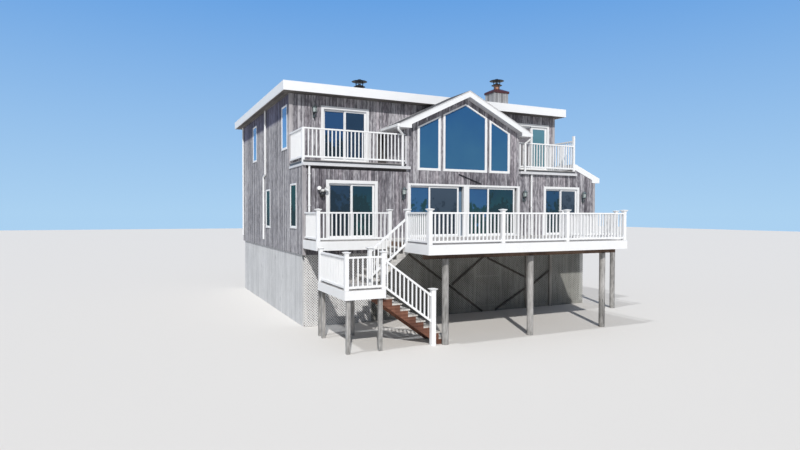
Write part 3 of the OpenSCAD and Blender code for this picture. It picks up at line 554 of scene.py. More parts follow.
def wood(name, dark, middle, light, boards=True, along="x", width=0.14, tint=None,
         tone=0.5, bump=0.5, patch=0.35, blotch=0.0, painted_eave_shadow=None, inner=None,
         painted_light=None):
    """Weathered timber, in numbered boards or in single lengths.

    painted_eave_shadow is a height range over which the timber is darkened to a blue-grey, a
    painted shadow under an eave; painted_light is a height range over which it is painted
    paler, and by how much, a painted light on boards in shade; inner is a depth and the tones
    of the timber that lies further in.
    """
    material, tree, shader = new_material(name)
    if boards:
        split = use_group(tree, BOARDS, coordinates(tree, "UV"))
        split.inputs["Width"].default_value = width
        vector, own = split.outputs["Vector"], split.outputs["Tone"]
    else:
        vector = turned(tree, coordinates(tree), along)
        own = add_noise(tree, coordinates(tree), 0.9, (1, 1, 1), 1)
    grain = use_group(tree, GRAIN, vector)
    weather = use_group(tree, WEATHER, coordinates(tree))
    streak = add_range(tree, grain.outputs["Streak"], 0.28, 0.72)
    shares = [add_math(tree, "MULTIPLY", streak, 1 - tone),
              add_math(tree, "MULTIPLY", own, tone),
              add_range(tree, weather.outputs["Patch"], 0.3, 0.7, -patch, patch),
              add_range(tree, weather.outputs["Run"], 0.3, 0.7, -0.16, 0.16)]
    if blotch:
        marks = add_noise(tree, vector, 1.0, (4.5, 17, 17), 3, 0.6)
        shares.append(add_range(tree, marks, 0.3, 0.7, -blotch, blotch))
    # Painted light: the timber pales over a height band
    if painted_light:
        low, high, amount = painted_light
        shares.append(add_range(tree, place_along(tree, 2), low, high, 0, amount))
    value = add_up(tree, *shares)
    colour = add_ramp(tree, value, dark, middle, light)
    if inner:
        depth, *inner_tones = inner
        colour = add_mix(tree, add_range(tree, place_along(tree, 1), depth, depth + 0.01),
                         colour, add_ramp(tree, value, *inner_tones))
    fibres = add_range(tree, grain.outputs["Fibre"], 0.3, 0.7, 0.78, 1.14)
    shade = tree.nodes.new("ShaderNodeCombineColor")
    for i in range(3):
        tree.links.new(fibres, shade.inputs[i])
    colour = add_mix(tree, 1.0, colour, shade.outputs[0], "MULTIPLY")
    if boards and tint:
        chosen = add_range(tree, split.outputs["Tint"], 0.55, 1.0, 0, 0.6)
        colour = add_mix(tree, chosen, colour, tint, "MULTIPLY")
    knots = add_math(tree, "MULTIPLY", grain.outputs["Knot"], 0.6)
    colour = add_mix(tree, knots, colour, tuple(c * 0.5 for c in dark))
    # Painted eave shadow: the timber darkens to a blue-grey over a height band under the eave
    if painted_eave_shadow:
        under = add_range(tree, place_along(tree, 2), *painted_eave_shadow)
        colour = add_mix(tree, under, colour, (0.42, 0.42, 0.58), "MULTIPLY")
    add_surface(tree, shader, colour, add_range(tree, streak, 0, 1, 0.92, 0.72),
                add_math(tree, "ADD", grain.outputs["Fibre"], streak), bump, 0.003)
    return material


def paint(name, clean, dirt, amount=0.3, bump=0.12):
    """Paint or enamel that is dirty in places."""
    material, tree, shader = new_material(name)
    wear = use_group(tree, PAINT, coordinates(tree))
    for label, value in (("Clean", clean), ("Dirt", dirt), ("Amount", amount)):
        feed(tree, wear.inputs[label], value)
    add_surface(tree, shader, wear.outputs["Color"], wear.outputs["Roughness"],
                wear.outputs["Height"], bump, 0.002)
    return material


def metal(name, clean, worn, metallic, rough):
    """Bare or painted metal with worn patches."""
    material, tree, shader = new_material(name)
    vector = coordinates(tree)
    cloud = add_noise(tree, vector, 6, (1, 1, 1), 6, 0.7)
    fine = add_noise(tree, vector, 70, (1, 1, 1), 3, 0.6)
    shader.inputs["Metallic"].default_value = metallic
    add_surface(tree, shader, add_mix(tree, add_range(tree, cloud, 0.42, 0.66), clean, worn),
                add_range(tree, fine, 0.3, 0.7, rough - 0.1, rough + 0.12),
                add_math(tree, "ADD", cloud, fine), 0.2, 0.002)
    return material


def glass(name, low, high, low_z, high_z, transmission=0.25, painted_tree_reflection=None, shine=0.5):
    """Window glass whose colour, a painted reflection, turns from one tone to another between
    two heights.

    painted_tree_reflection is a painted reflection of trees: the tone that the lower part takes,
    the height it reaches and how ragged it is.
    """
    material, tree, shader = new_material(name)
    vector = coordinates(tree)
    level = place_along(tree, 2)
    cloud = add_range(tree, add_noise(tree, vector, 0.8, (1, 1, 1), 3), 0.3, 0.7, -0.25, 0.25)
    height = add_math(tree, "ADD", add_range(tree, level, low_z, high_z), cloud)
    colour = add_mix(tree, height, low, high)
    # Painted reflection of trees: a darker tone with a ragged top over the lower part of the pane
    if painted_tree_reflection:
        tone, top, ragged = painted_tree_reflection
        patches = add_noise(tree, vector, 1.0, (3.2, 3.2, 2.6), 6, 0.62)
        edge = add_math(tree, "ADD", level,
                        add_range(tree, patches, 0.3, 0.7, -ragged, ragged))
        colour = add_mix(tree, add_range(tree, edge, top - 0.12, top + 0.12), tone, colour)
    shader.inputs["Specular IOR Level"].default_value = shine
    shader.inputs["IOR"].default_value = 1.5 if shine > 0.3 else 1.12
    shader.inputs["Transmission Weight"].default_value = transmission
    add_surface(tree, shader, colour, 0.04, add_noise(tree, vector, 1.3, (1, 1, 1), 2), 0.08,
                0.004)
    return material


def shingles_material():
    """Roof shingles, each with its own tone and mineral specks."""
    material, tree, shader = new_material("shingle_roofing")
    floor = tree.nodes.new("ShaderNodeVectorMath")
    floor.operation = "FLOOR"
    tree.links.new(coordinates(tree, "UV"), floor.inputs[0])
    chance = add_chance(tree, floor.outputs[0], "2D")
    vector = coordinates(tree)
    specks = add_noise(tree, vector, 160, (1, 1, 1), 3, 0.7)
    cloud = add_noise(tree, vector, 1.1, (1, 1, 1), 4, 0.6)
    value = add_up(tree, add_math(tree, "MULTIPLY", chance, 0.5),
                   add_range(tree, specks, 0.3, 0.7, -0.2, 0.2),
                   add_range(tree, cloud, 0.3, 0.7, 0, 0.4))
    add_surface(tree, shader, add_mix(tree, value, (0.10, 0.10, 0.105), (0.26, 0.255, 0.25)),
                0.93, specks, 0.6, 0.003)
    return material


# The siding pales above 5 m: painted light for the upper boards that lie in shade
SIDING = wood("weathered_boards_painted_light", (0.072, 0.066, 0.078), (0.200, 0.192, 0.214),
              (0.52, 0.51, 0.54), tint=(0.97, 0.90, 0.92), tone=0.36, bump=0.8, patch=0.2,
              blotch=0.30, painted_light=(5.0, 6.0, 0.16))
# The left wall's boards are a lighter copy of the siding, painted light for the wall's sunlit side,
# with a painted blue-grey eave shadow near the top
LEFT_SIDING_PAINTED_LIGHT = wood("left_boards_painted_light_and_shadow", (0.085, 0.082, 0.090), (0.285, 0.28, 0.30),
                   (0.56, 0.555, 0.575), tone=0.42, bump=0.8, patch=0.15, blotch=0.30,
                   painted_eave_shadow=(7.66, 7.86))
CORNER_WOOD = wood("corner_boards_wood", (0.22, 0.21, 0.225), (0.40, 0.385, 0.40),
                   (0.58, 0.56, 0.58), boards=False, along="z", patch=0.2)
# The dark sheathing also stands as a painted shadow strip where the front boards stop short under
# the left balcony
BACKING = wood("wall_sheathing", (0.030, 0.026, 0.026), (0.055, 0.048, 0.047),
               (0.085, 0.075, 0.073), boards=False, along="z")
CHASE = wood("chimney_boards", (0.17, 0.17, 0.175), (0.33, 0.335, 0.345), (0.55, 0.56, 0.58),
             tone=0.6, width=0.1)
DECKING = wood("deck_planks", (0.20, 0.185, 0.17), (0.36, 0.34, 0.32), (0.52, 0.50, 0.475),
               tone=0.5, bump=0.5)
STAIR_WOOD = wood("stair_planks", (0.34, 0.32, 0.30), (0.55, 0.53, 0.50), (0.70, 0.69, 0.66),
                  tone=0.5, bump=0.5)
SOFFIT_WOOD = wood("soffit_boards", (0.07, 0.062, 0.058), (0.13, 0.118, 0.11),
                   (0.20, 0.185, 0.175), tone=0.5)
SKIRT_WOOD = wood("painted_skirt_boards", (0.42, 0.43, 0.44), (0.58, 0.59, 0.60),
                  (0.68, 0.69, 0.70), tone=0.35, bump=0.35, patch=0.2)
BROWN = ((0.055, 0.032, 0.022), (0.13, 0.077, 0.052), (0.22, 0.14, 0.095))
BROWN_X = wood("brown_timber_across", *BROWN, boards=False)
BROWN_Y = wood("brown_timber_inward", *BROWN, boards=False, along="y")
STRINGER_WOOD = wood("red_brown_stringers", (0.075, 0.026, 0.015), (0.155, 0.062, 0.036),
                     (0.27, 0.125, 0.075), boards=False,
                     inner=(-6.9, (0.36, 0.35, 0.34), (0.55, 0.54, 0.52), (0.68, 0.67, 0.66)))
PILE_WOOD = wood("weathered_piles_wood", (0.14, 0.135, 0.13), (0.285, 0.28, 0.27),
                 (0.46, 0.45, 0.44), boards=False, along="z", blotch=0.25, bump=0.8)
LATTICE_WHITE = wood("white_lattice_slats", (0.62, 0.62, 0.62), (0.76, 0.76, 0.76),
                     (0.84, 0.84, 0.84), boards=False, along="z", patch=0.2)
# Grey lattice: a shaded copy of the white lattice, painted shade for the lattice under the deck
LATTICE_PAINTED_SHADE = wood("lattice_slats_painted_shade", (0.18, 0.18, 0.165), (0.32, 0.32, 0.295),
                    (0.47, 0.47, 0.445), boards=False, along="z", patch=0.25)
# A near-black paint for the sheet behind the lattice, painted shade for the undercroft seen through
# it
LATTICE_SHADE_SHEET = paint("painted_shade_backing", (0.020, 0.021, 0.023), (0.045, 0.045, 0.045), 0.5)
BRACE_WOOD = wood("dark_braces_wood", (0.035, 0.030, 0.026), (0.07, 0.062, 0.054),
                  (0.12, 0.105, 0.092), boards=False)
FRAMING = wood("grey_framing", (0.16, 0.15, 0.135), (0.30, 0.285, 0.26), (0.45, 0.43, 0.40),
               boards=False, along="z")
FLOOR_WOOD = wood("floor_boards_wood", (0.20, 0.13, 0.08), (0.33, 0.23, 0.15),
                  (0.44, 0.33, 0.23), boards=False)
WHITE = paint("white_paint", (0.80, 0.81, 0.82), (0.52, 0.50, 0.46), 0.28)
WHITE_GUARD = paint("white_guard_paint", (0.82, 0.83, 0.84), (0.56, 0.55, 0.52), 0.25)
FLASHING = paint("white_roof_edge", (0.82, 0.835, 0.85), (0.55, 0.55, 0.53), 0.2)
MEMBRANE = paint("roof_sheet", (0.60, 0.61, 0.61), (0.36, 0.35, 0.33), 0.6, 0.3)
SOFFIT_PAINT = paint("gable_soffit_paint", (0.64, 0.64, 0.65), (0.42, 0.41, 0.40), 0.4)
GUTTER_PAINT = paint("gutter_enamel", (0.66, 0.67, 0.69), (0.40, 0.39, 0.38), 0.45)
VANE_PAINT = paint("blind_vane_paint", (0.105, 0.185, 0.28), (0.075, 0.140, 0.215), 0.4)
# The balcony edges are painted near-black as painted shade in the gap between the guard and the
# gutter
BALCONY_EDGE_SHADE = paint("balcony_edge_painted_shade", (0.055, 0.055, 0.058), (0.10, 0.095, 0.09), 0.6)
CAP_RED = metal("red_cap_paint", (0.085, 0.018, 0.017), (0.045, 0.016, 0.016), 0.0, 0.5)
COPPER = metal("copper_flue_metal", (0.45, 0.22, 0.13), (0.24, 0.15, 0.11), 0.8, 0.42)
BLACK = metal("black_cowl_paint", (0.014, 0.014, 0.016), (0.030, 0.028, 0.028), 0.1, 0.5)
LANTERN_METAL = metal("lantern_bronze", (0.050, 0.060, 0.064), (0.16, 0.20, 0.20), 0.4, 0.5)
LAMP_PAINT = metal("floodlight_enamel", (0.72, 0.73, 0.74), (0.52, 0.52, 0.50), 0.0, 0.4)
# The tones of these panes are painted reflections: of the sky, and of trees where a lower tone is
# given
GABLE_PANE = glass("gable_window_panes", (0.033, 0.128, 0.25), (0.017, 0.088, 0.235), 5.9, 8.3,
                   0.1)
SKY_PANE = glass("upper_window_panes", (0.12, 0.36, 0.70), (0.045, 0.20, 0.56), 6.5, 8.2, 0.1)
SHADE_PANE = glass("lower_window_panes", (0.006, 0.050, 0.045), (0.008, 0.060, 0.060), 3.4, 5.1,
                   0.1, ((0.004, 0.018, 0.015), 4.3, 0.9), 0.15)
BLUE_PANE = glass("blue_door_panes", (0.040, 0.14, 0.28), (0.025, 0.095, 0.24), 3.4, 5.0, 0.15,
                  ((0.008, 0.045, 0.050), 4.15, 0.75))
UPPER_PANE = glass("upper_door_panes", (0.022, 0.075, 0.19), (0.020, 0.070, 0.19), 6.2, 8.0,
                   0.15, ((0.006, 0.020, 0.030), 6.9, 0.45))
NAVY_PANE = glass("navy_door_panes", (0.014, 0.038, 0.065), (0.016, 0.040, 0.085), 3.4, 5.0, 0.2,
                  ((0.008, 0.020, 0.034), 4.5, 0.8))
GREEN_PANE = glass("green_door_panes", (0.012, 0.075, 0.075), (0.008, 0.040, 0.065), 3.4, 5.0,
                   0.2, ((0.006, 0.028, 0.032), 4.3, 1.1))
SCREENED_PANE = glass("screened_door_panes", (0.038, 0.058, 0.085), (0.052, 0.074, 0.108), 3.4,
                      5.0, 0.2, ((0.022, 0.034, 0.052), 4.2, 1.0))
DEEP_PANE = glass("deep_blue_door_panes", (0.014, 0.070, 0.15), (0.012, 0.052, 0.13), 3.4, 5.0,
                  0.15, ((0.005, 0.026, 0.036), 4.5, 0.7))
PALE_PANE = glass("pale_door_panes", (0.11, 0.27, 0.32), (0.13, 0.30, 0.38), 6.5, 8.0)
DIM_PANE = glass("dim_door_panes", (0.17, 0.155, 0.16), (0.20, 0.18, 0.19), 6.5, 8.0, 0.1)
LAMP_GLASS = glass("lantern_panes", (0.46, 0.54, 0.53), (0.50, 0.57, 0.56), 3.0, 8.0, 0.2)
SHINGLES = shingles_material()


# CAD nodes that stay get the finish of the real piece

def dress(name, material):
    slots = nodes[name].data.materials
    if len(slots):
        slots[0] = material
    else:
        slots.append(material)


for material, names in (
        (BACKING, ("front_piers", "front_wall_bands", "left_wall", "back_wall", "right_walls",
                   "upper_front_wall", "bay_side_walls", "gable_wall", "chimney_chase")),
        (WHITE, ("door_jambs", "door_heads_and_sills", "upper_door_frames", "deck_fascia")),
        (WHITE_GUARD, ("guard_posts", "deck_guards", "stair_guards", "balcony_front_guards",
                       "balcony_side_guards")),
        (FLASHING, ("roof_trim",)), (SOFFIT_PAINT, ("gable_roof", "side_roof")),
        (BROWN_Y, ("deck_joists",)), (BROWN_X, ("deck_beams",)),
        (STRINGER_WOOD, ("stair_stringers",)), (PILE_WOOD, ("piles",)),
        (SKIRT_WOOD, ("skirt_walls",)), (FLOOR_WOOD, ("main_floor", "upper_floor"))):
    for name in names:
        dress(name, material)


# Siding: upright boards on every wall

def board_row(name, low, high, across, along, width, gap, lead=0.5, bevel=0.004):
    """Boards side by side from corner to corner, and the values that map_boards takes.

    across and along are the axes of the row and of the grain; lead is the share of a gap that
    comes before the board.
    """
    low, high = list(low), list(high)
    start = low[across]
    count = max(1, round((high[across] - start) / width))
    pitch = (high[across] - start) / count
    low[across], high[across] = start + gap * lead, start + pitch - gap * (1 - lead)
    board = block(name, house(*low), house(*high))
    if bevel:
        soften(board, bevel)
    step = [0, 0, 0]
    step[across] = pitch
    repeat(board, step, count)
    return board, (along, across, house(start, start, 0)[across], pitch)


def upright_boards(name, axis, start, end, face, outward, z0, z1, width=BOARD_WIDTH,
                   thick=BOARD, gap=0.013):
    """Boards side by side along x (axis 0) or y (axis 1), on a wall that faces outward."""
    low, high = [0, 0, z0], [0, 0, z1]
    low[axis], high[axis] = start, end
    low[1 - axis], high[1 - axis] = sorted((face, face + outward * thick))
    return board_row(name, low, high, axis, 2, width, gap)


def wall_holes(piece, axis, face, holes, grow=0.03):
    cutters = []
    for a, b, z0, z1 in holes:
        low, high = [0, 0, z0 - grow], [0, 0, z1 + grow]
        low[axis], high[axis] = a - grow, b + grow
        low[1 - axis], high[1 - axis] = face - 0.1, face + 0.1
        cutters.append(block("cutter", house(*low), house(*high)))
    if cutters:
        cut_out(piece, *cutters)


def clad(row, material):
    piece, mapping = row
    map_boards(piece, *mapping)
    finish(piece, material)


def slope_cut(piece, x, z, pitch):
    """Removes what lies above a line that falls to the right with the pitch."""
    saw(piece, house(x, 0, z), Vector((pitch, 0, 1)).normalized())


def clad_wall(name, axis, start, end, face, outward, z0, z1, holes=(), grow=0.03, slopes=(),
              cutters=(), material=SIDING):
    """The boards of one wall, cut to the slopes over it and around its openings."""
    boards, mapping = upright_boards(name, axis, start, end, face, outward, z0, z1)
    for slope in slopes:
        slope_cut(boards, *slope)
    wall_holes(boards, axis, face, holes, grow)
    if cutters:
        cut_out(boards, *cutters)
    clad((boards, mapping), material)


def gable_window_cutters(grow):
    """Blocks in the outline of the three gable windows: their sill, edges and sloping tops."""
    sill = DECK + 2.645 - grow
    top = RIDGE - RAKE - 0.266 + 0.7 * grow
    middle_half, side_near, side_far = 0.967 + grow, 1.205 - grow, 2.10 + grow
    cutters = []
    for a, b, slopes in ((-middle_half, middle_half, (1, -1)), (-side_far, -side_near, (-1,)),
                         (side_near, side_far, (1,))):
        piece = block("cutter", house(BAY_MID + a, -0.1, sill), house(BAY_MID + b, 0.2, BAY_TOP))
        for side in slopes:
            slope_cut(piece, BAY_MID, top, side * RIDGE_PITCH)
        cutters.append(piece)
    return cutters


def roof_cutter(x0, x1):
    """What the gable roof and the bay hide of the upper front wall."""
    cutter = block("cutter", house(x0, SETBACK - 0.2, UPPER - 0.2),
                   house(x1, SETBACK + 0.2, 9.2))
    side = 1 if x0 >= BAY_MID else -1
    slope_cut(cutter, BAY_MID, RIDGE, side * RIDGE_PITCH)
    return cutter


left_door, middle_doors, right_door = [(a, b, DECK, DOOR_TOP) for a, b in LOWER_DOORS]
upper_left_door, upper_right_door = [(a, b, UPPER_DOOR_LOW, UPPER_DOOR_TOP)
                                     for a, b in UPPER_DOORS]
# The left boards stop at 5.60, short of the balcony, so that the dark sheathing shows under the
# gutter as a painted shadow strip
clad_wall("front_boards_left", 0, 0, BAY_LEFT, 0, -1, SIDING_LOW, 5.60,
          [left_door, middle_doors])
clad_wall("front_boards_bay", 0, BAY_LEFT, BAY_RIGHT, 0, -1, SIDING_LOW, BAY_TOP, [middle_doors],
          slopes=[(BAY_MID, RIDGE - RAKE, RIDGE_PITCH), (BAY_MID, RIDGE - RAKE, -RIDGE_PITCH)],
          cutters=gable_window_cutters(0.02))
clad_wall("front_boards_right", 0, BAY_RIGHT, SIDE_ROOF_X, 0, -1, SIDING_LOW, WALL_TOP,
          [middle_doors, right_door])
clad_wall("front_boards_end", 0, SIDE_ROOF_X, HOUSE_W, 0, -1, SIDING_LOW, 6.0, [right_door],
          slopes=[(SIDE_ROOF_X, side_under(SIDE_ROOF_X), SIDE_PITCH)],
          cutters=[block("cutter", house(SKIRT_RIGHT, -0.2, 2.0), house(14, 0.2, BUMP_LOW))])
clad_wall("left_boards", 1, 0, HOUSE_D, 0, -1, SIDING_LOW, EAVE, LEFT_WINDOWS, 0.02,
          cutters=[block("cutter", house(-0.2, -0.2, WALL_TOP), house(0.2, SETBACK, 9))],
          material=LEFT_SIDING_PAINTED_LIGHT)
clad_wall("right_boards_lower", 1, 0, HOUSE_D, HOUSE_W, 1, BUMP_LOW,
          side_under(HOUSE_W + BOARD), RIGHT_LOWER_WINDOWS, 0.02)
clad_wall("right_boards_upper", 1, SETBACK, HOUSE_D, UPPER_W, 1, side_under(UPPER_W) + 0.16,
          EAVE, RIGHT_UPPER_WINDOWS, 0.02)
clad_wall("back_boards", 0, 0, UPPER_W, HOUSE_D, 1, SIDING_LOW, EAVE, BACK_WINDOWS, 0.02)
clad_wall("back_boards_end", 0, UPPER_W, HOUSE_W, HOUSE_D, 1, BUMP_LOW, 6.0,
          slopes=[(UPPER_W, side_under(UPPER_W), SIDE_PITCH)])
clad_wall("upper_boards_left", 0, 0, BAY_MID, SETBACK, -1, UPPER - 0.06, EAVE,
          [upper_left_door], cutters=[roof_cutter(BAY_MID - GABLE_HALF, BAY_MID + 0.01)])
clad_wall("upper_boards_right", 0, BAY_MID, UPPER_W, SETBACK, -1, UPPER - 0.06, EAVE,
          [upper_right_door], cutters=[roof_cutter(BAY_MID, BAY_MID + GABLE_HALF)])
for name, x, outward in (("bay_boards_left", BAY_LEFT, -1), ("bay_boards_right", BAY_RIGHT, 1)):
    clad_wall(name, 1, 0, SETBACK - BOARD, x, outward, WALK, BAY_WALL_TOP)

CHASE_LOW, CHASE_SIZE, CHASE_TOP = (10.40, 3.40), (0.82, 0.74), 9.90
for name, axis, far, outward in (("chimney_boards_front", 0, False, -1),
                                 ("chimney_boards_back", 0, True, 1),
                                 ("chimney_boards_left", 1, False, -1),
                                 ("chimney_boards_right", 1, True, 1)):
    first = CHASE_LOW[axis]
    face = CHASE_LOW[1 - axis] + (CHASE_SIZE[1 - axis] if far else 0)
    clad(upright_boards(name, axis, first, first + CHASE_SIZE[axis], face, outward,
                        ROOF - 0.02, CHASE_TOP, 0.1, 0.014, 0.008), CHASE)

CORNER_LEG = 0.11
UPPER_CORNER_LOW, LOWER_CORNER_TOP = 6.30, 5.42
corners = []
for x, y, side, face, z0, z1 in (
        (0, 0, -1, -1, SIDING_LOW, WALL_TOP), (0, SETBACK, -1, -1, WALK, EAVE),
        (UPPER_W, SETBACK, 1, -1, UPPER_CORNER_LOW, EAVE),
        (HOUSE_W, 0, 1, -1, BUMP_LOW, LOWER_CORNER_TOP),
        (0, HOUSE_D, -1, 1, SIDING_LOW, EAVE),
        (UPPER_W, HOUSE_D, 1, 1, UPPER_CORNER_LOW, EAVE),
        (HOUSE_W, HOUSE_D, 1, 1, BUMP_LOW, LOWER_CORNER_TOP)):
    x0, y0 = x + side * BOARD, y + face * BOARD
    for xs, ys in (((x0 + side * BOARD, x0 - side * CORNER_LEG), (y0, y0 + face * BOARD)),
                   ((x0, x0 + side * BOARD), (y0, y0 - face * CORNER_LEG))):
        corners.append(block("corner", house(min(xs), min(ys), z0),
                             house(max(xs), max(ys), z1)))
corners = join("corner_boards", *corners)
soften(corners, 0.003)
finish(corners, CORNER_WOOD)

# The painted boards of the skirt
for name, axis, start, end, face, outward, top in (
        ("skirt_boards_left", 1, 0.25, HOUSE_D - 0.13, 0.04, -1, SIDING_LOW),
        ("skirt_boards_right", 1, 0.25, HOUSE_D - 0.13, SKIRT_RIGHT, 1, BUMP_LOW),
        ("skirt_boards_back", 0, 0.04, SKIRT_RIGHT, HOUSE_D - 0.04, 1, SIDING_LOW)):
    clad(upright_boards(name, axis, start, end, face, outward, 0, top, 0.2, 0.012, 0.004),
         SKIRT_WOOD)


# Decks

PLANK = 0.035


def planks(name, x0, x1, y0, y1, z1, thick=PLANK, width=BOARD_WIDTH, gap=0.006):
    """Deck planks that run along x, side by side from front to back."""
    plank, mapping = board_row(name, (x0, y0, z1 - thick), (x1, y1, z1), 1, 0, width, gap)
    map_boards(plank, *mapping)
    return plank


deck = join("deck_planking", *[planks("planks", *area, DECK) for area in (
    (2.42, 10.335, -4.76, -3.1425), (2.588, 10.335, -3.1425, -1.604),
    (2.678, 10.335, -1.604, -0.002), (0, 2.674, -1.6, -0.002), (10.339, 13.30, -1.6, -0.002))])
finish(deck, DECKING, replaces=["deck_boards"])
LANDING, LANDING_RIGHT, LANDING_FRONT, LANDING_BACK = 1.824, 1.25, -4.28, -1.76
landing = planks("landing_planking", 0, LANDING_RIGHT, LANDING_FRONT, LANDING_BACK, LANDING)
finish(landing, DECKING)
joists = [block("joist", house(x, LANDING_FRONT, LANDING - 0.215),
                house(x + 0.04, LANDING_BACK, LANDING - PLANK)) for x in (0, 0.3, 0.605, 0.9, 1.21)]
joists = join("landing_joists", *joists)
soften(joists, 0.003)
finish(joists, BROWN_Y, replaces=["landing"])

# Each flight: its steps, going, first height, rise, edges, and its two boards from front to back
TREAD = 0.042
treads = []
for steps, going, first, rise, y0, y1, boards in (
        (8, 0.263, 1.534, -0.19175, -4.16, -3.30, ((0, 0.163), (0.169, 0.333))),
        (6, 0.223, LANDING + 1.276 / 7, 1.276 / 7, -3.14, -1.84, ((-0.02, 0.099), (0.105, 0.223)))):
    for i in range(steps):
        x, z = LANDING_RIGHT + i * going, first + i * rise
        treads += [block("tread", house(x + a, y0, z - TREAD), house(x + b, y1, z))
                   for a, b in boards]
treads = join("stair_tread_planks", *treads)
soften(treads, 0.006, 2)
map_boards(treads, 1, 0, house(LANDING_RIGHT, 0, 0)[0], 0.131)
finish(treads, STAIR_WOOD, replaces=["stair_treads"])


# Lattice between the posts of the undercroft

LATTICE_LEFT, LATTICE_RIGHT = 0.05, SKIRT_RIGHT - 0.01


def slats(name, lean, y):
    """Thin slats at 45 degrees, trimmed to the skirt's front."""
    length, width, thick, step, count, first = 3.8, 0.033, 0.008, 0.094, 166, -1.3
    slat = block(name, house(-width / 2, y, -length / 2), house(width / 2, y + thick, length / 2))
    pick(slat)
    turn(math.radians(45 * lean), "Y", house(0, y, 0))
    move(first, 0, SIDING_LOW / 2)
    slat = settle(name)
    repeat(slat, (step, 0, 0), count)
    saw(slat, house(LATTICE_LEFT, 0, 0), (-1, 0, 0))
    saw(slat, house(LATTICE_RIGHT, 0, 0), (1, 0, 0))
    saw(slat, house(0, 0, 0.01), (0, 0, -1))
    saw(slat, house(0, 0, SIDING_LOW), (0, 0, 1))
    return slat


END_BAY_RIGHT = 2.60
# The lattice right of the end bay takes the grey tone as painted shade; the end bay keeps the
# lattice's white
lattice = join("diagonal_lattice", slats("slats", 1, 0.066), slats("slats", -1, 0.075))
end_bay = copy_of(lattice, "end_bay_lattice")
saw(lattice, house(END_BAY_RIGHT, 0, 0), (-1, 0, 0))
saw(end_bay, house(END_BAY_RIGHT, 0, 0), (1, 0, 0))
finish(lattice, LATTICE_PAINTED_SHADE, replaces=["skirt_lattice"])
finish(end_bay, LATTICE_WHITE)


def lean_board(name, x0, z0, x1, z1, y, width=0.075, thick=0.035):
    """A timber from one point of the front to another."""
    run = math.hypot(x1 - x0, z1 - z0)
    piece = block(name, house(x0, y, z0 - width / 2), house(x0 + run, y + thick, z0 + width / 2))
    soften(piece, 0.004)
    pick(piece)
    turn(math.atan2(z1 - z0, x1 - x0), "Y", house(x0, y, z0))
    return settle(name)


braces = join("lattice_braces", *[lean_board("brace", *ends) for ends in (
    (4.10, 2.49, 7.50, 0.035, 0.005), (6.08, 1.19, 7.86, 2.47, 0.012),
    (7.75, 2.21, 9.77, 1.29, 0.005), (8.14, 0.04, 9.77, 0.89, 0.005),
    (9.80, 0.82, 11.05, 1.60, 0.005))])
finish(braces, BRACE_WOOD)
# A dark sheet behind the lattice: painted shade for the undercroft seen through the slats
backing = block("lattice_painted_shade_sheet", house(0.12, 0.145, 0.01), house(12.80, 0.150, 2.84))
finish(backing, LATTICE_SHADE_SHEET)
timbers = [(x - 0.045, x + 0.045, 0.10, 0.14, 0, SIDING_LOW)
           for x in (0.12, END_BAY_RIGHT, 5.17, 7.18, 8.45, 9.3, 12.04, 12.39)]
timbers += [(x - 0.07, x + 0.07, 0.0, 0.055, 0, SIDING_LOW) for x in (9.77, 11.05)]
timbers += [(7.225, 8.405, 0.10, 0.14, z, z + 0.07) for z in (0.20, 1.42)]
timbers += [(LATTICE_LEFT, LATTICE_RIGHT, 0.10, 0.14, z0, z1)
            for z0, z1 in ((0, 0.14), (SIDING_LOW - 0.14, SIDING_LOW))]
studs = join("lattice_studs", *[block("stud", house(x0, y0, z0), house(x1, y1, z1))
                                for x0, x1, y0, y1, z0, z1 in timbers])
soften(studs, 0.003)
finish(studs, FRAMING)


# Doors

def glazed_panel(name, low, high, stile, glazing, body="house", replaces=(), handle=False):
    """A door panel: a frame with glazing beads, a double pane and a pull at its left stile."""
    low, high = Vector(low), Vector(high)
    parts = [ring("frame", low, high, stile, 1)]
    bead = Vector((stile - 0.002, 0.008, stile - 0.002))
    parts.append(ring("bead", low + bead, high - bead, 0.014, 1, 0.002))
    if handle:
        at = Vector((low.x + stile / 2, low.y, low.z + 0.95))
        grip = block("grip", at + Vector((-0.012, -0.022, -0.13)),
                     at + Vector((0.012, -0.012, 0.13)))
        soften(grip, 0.004, 2)
        parts.append(grip)
        for end in (-0.11, 0.11):
            parts.append(block("foot", at + Vector((-0.010, -0.014, end - 0.012)),
                               at + Vector((0.010, 0.004, end + 0.012))))
    finish(join(name, *parts), WHITE_GUARD, body, replaces)
    middle = (low.y + high.y) / 2
    inside = Vector((stile + 0.004, 0, stile + 0.004))
    pane = block(name + "_pane", Vector((low.x, middle - 0.008, low.z)) + inside,
                 Vector((high.x, middle + 0.008, high.z)) - inside)
    soften(pane, 0.001)
    finish(pane, glazing, body)


for node, pane in (("left_door_leaf", GREEN_PANE), ("middle_left_door_leaf", SCREENED_PANE),
                   ("middle_right_door_leaf", GREEN_PANE), ("right_door_leaf", SCREENED_PANE)):
    low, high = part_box(node)
    glazed_panel(node + "_sash", low, high, STILE, pane, node + "_body", [node], True)

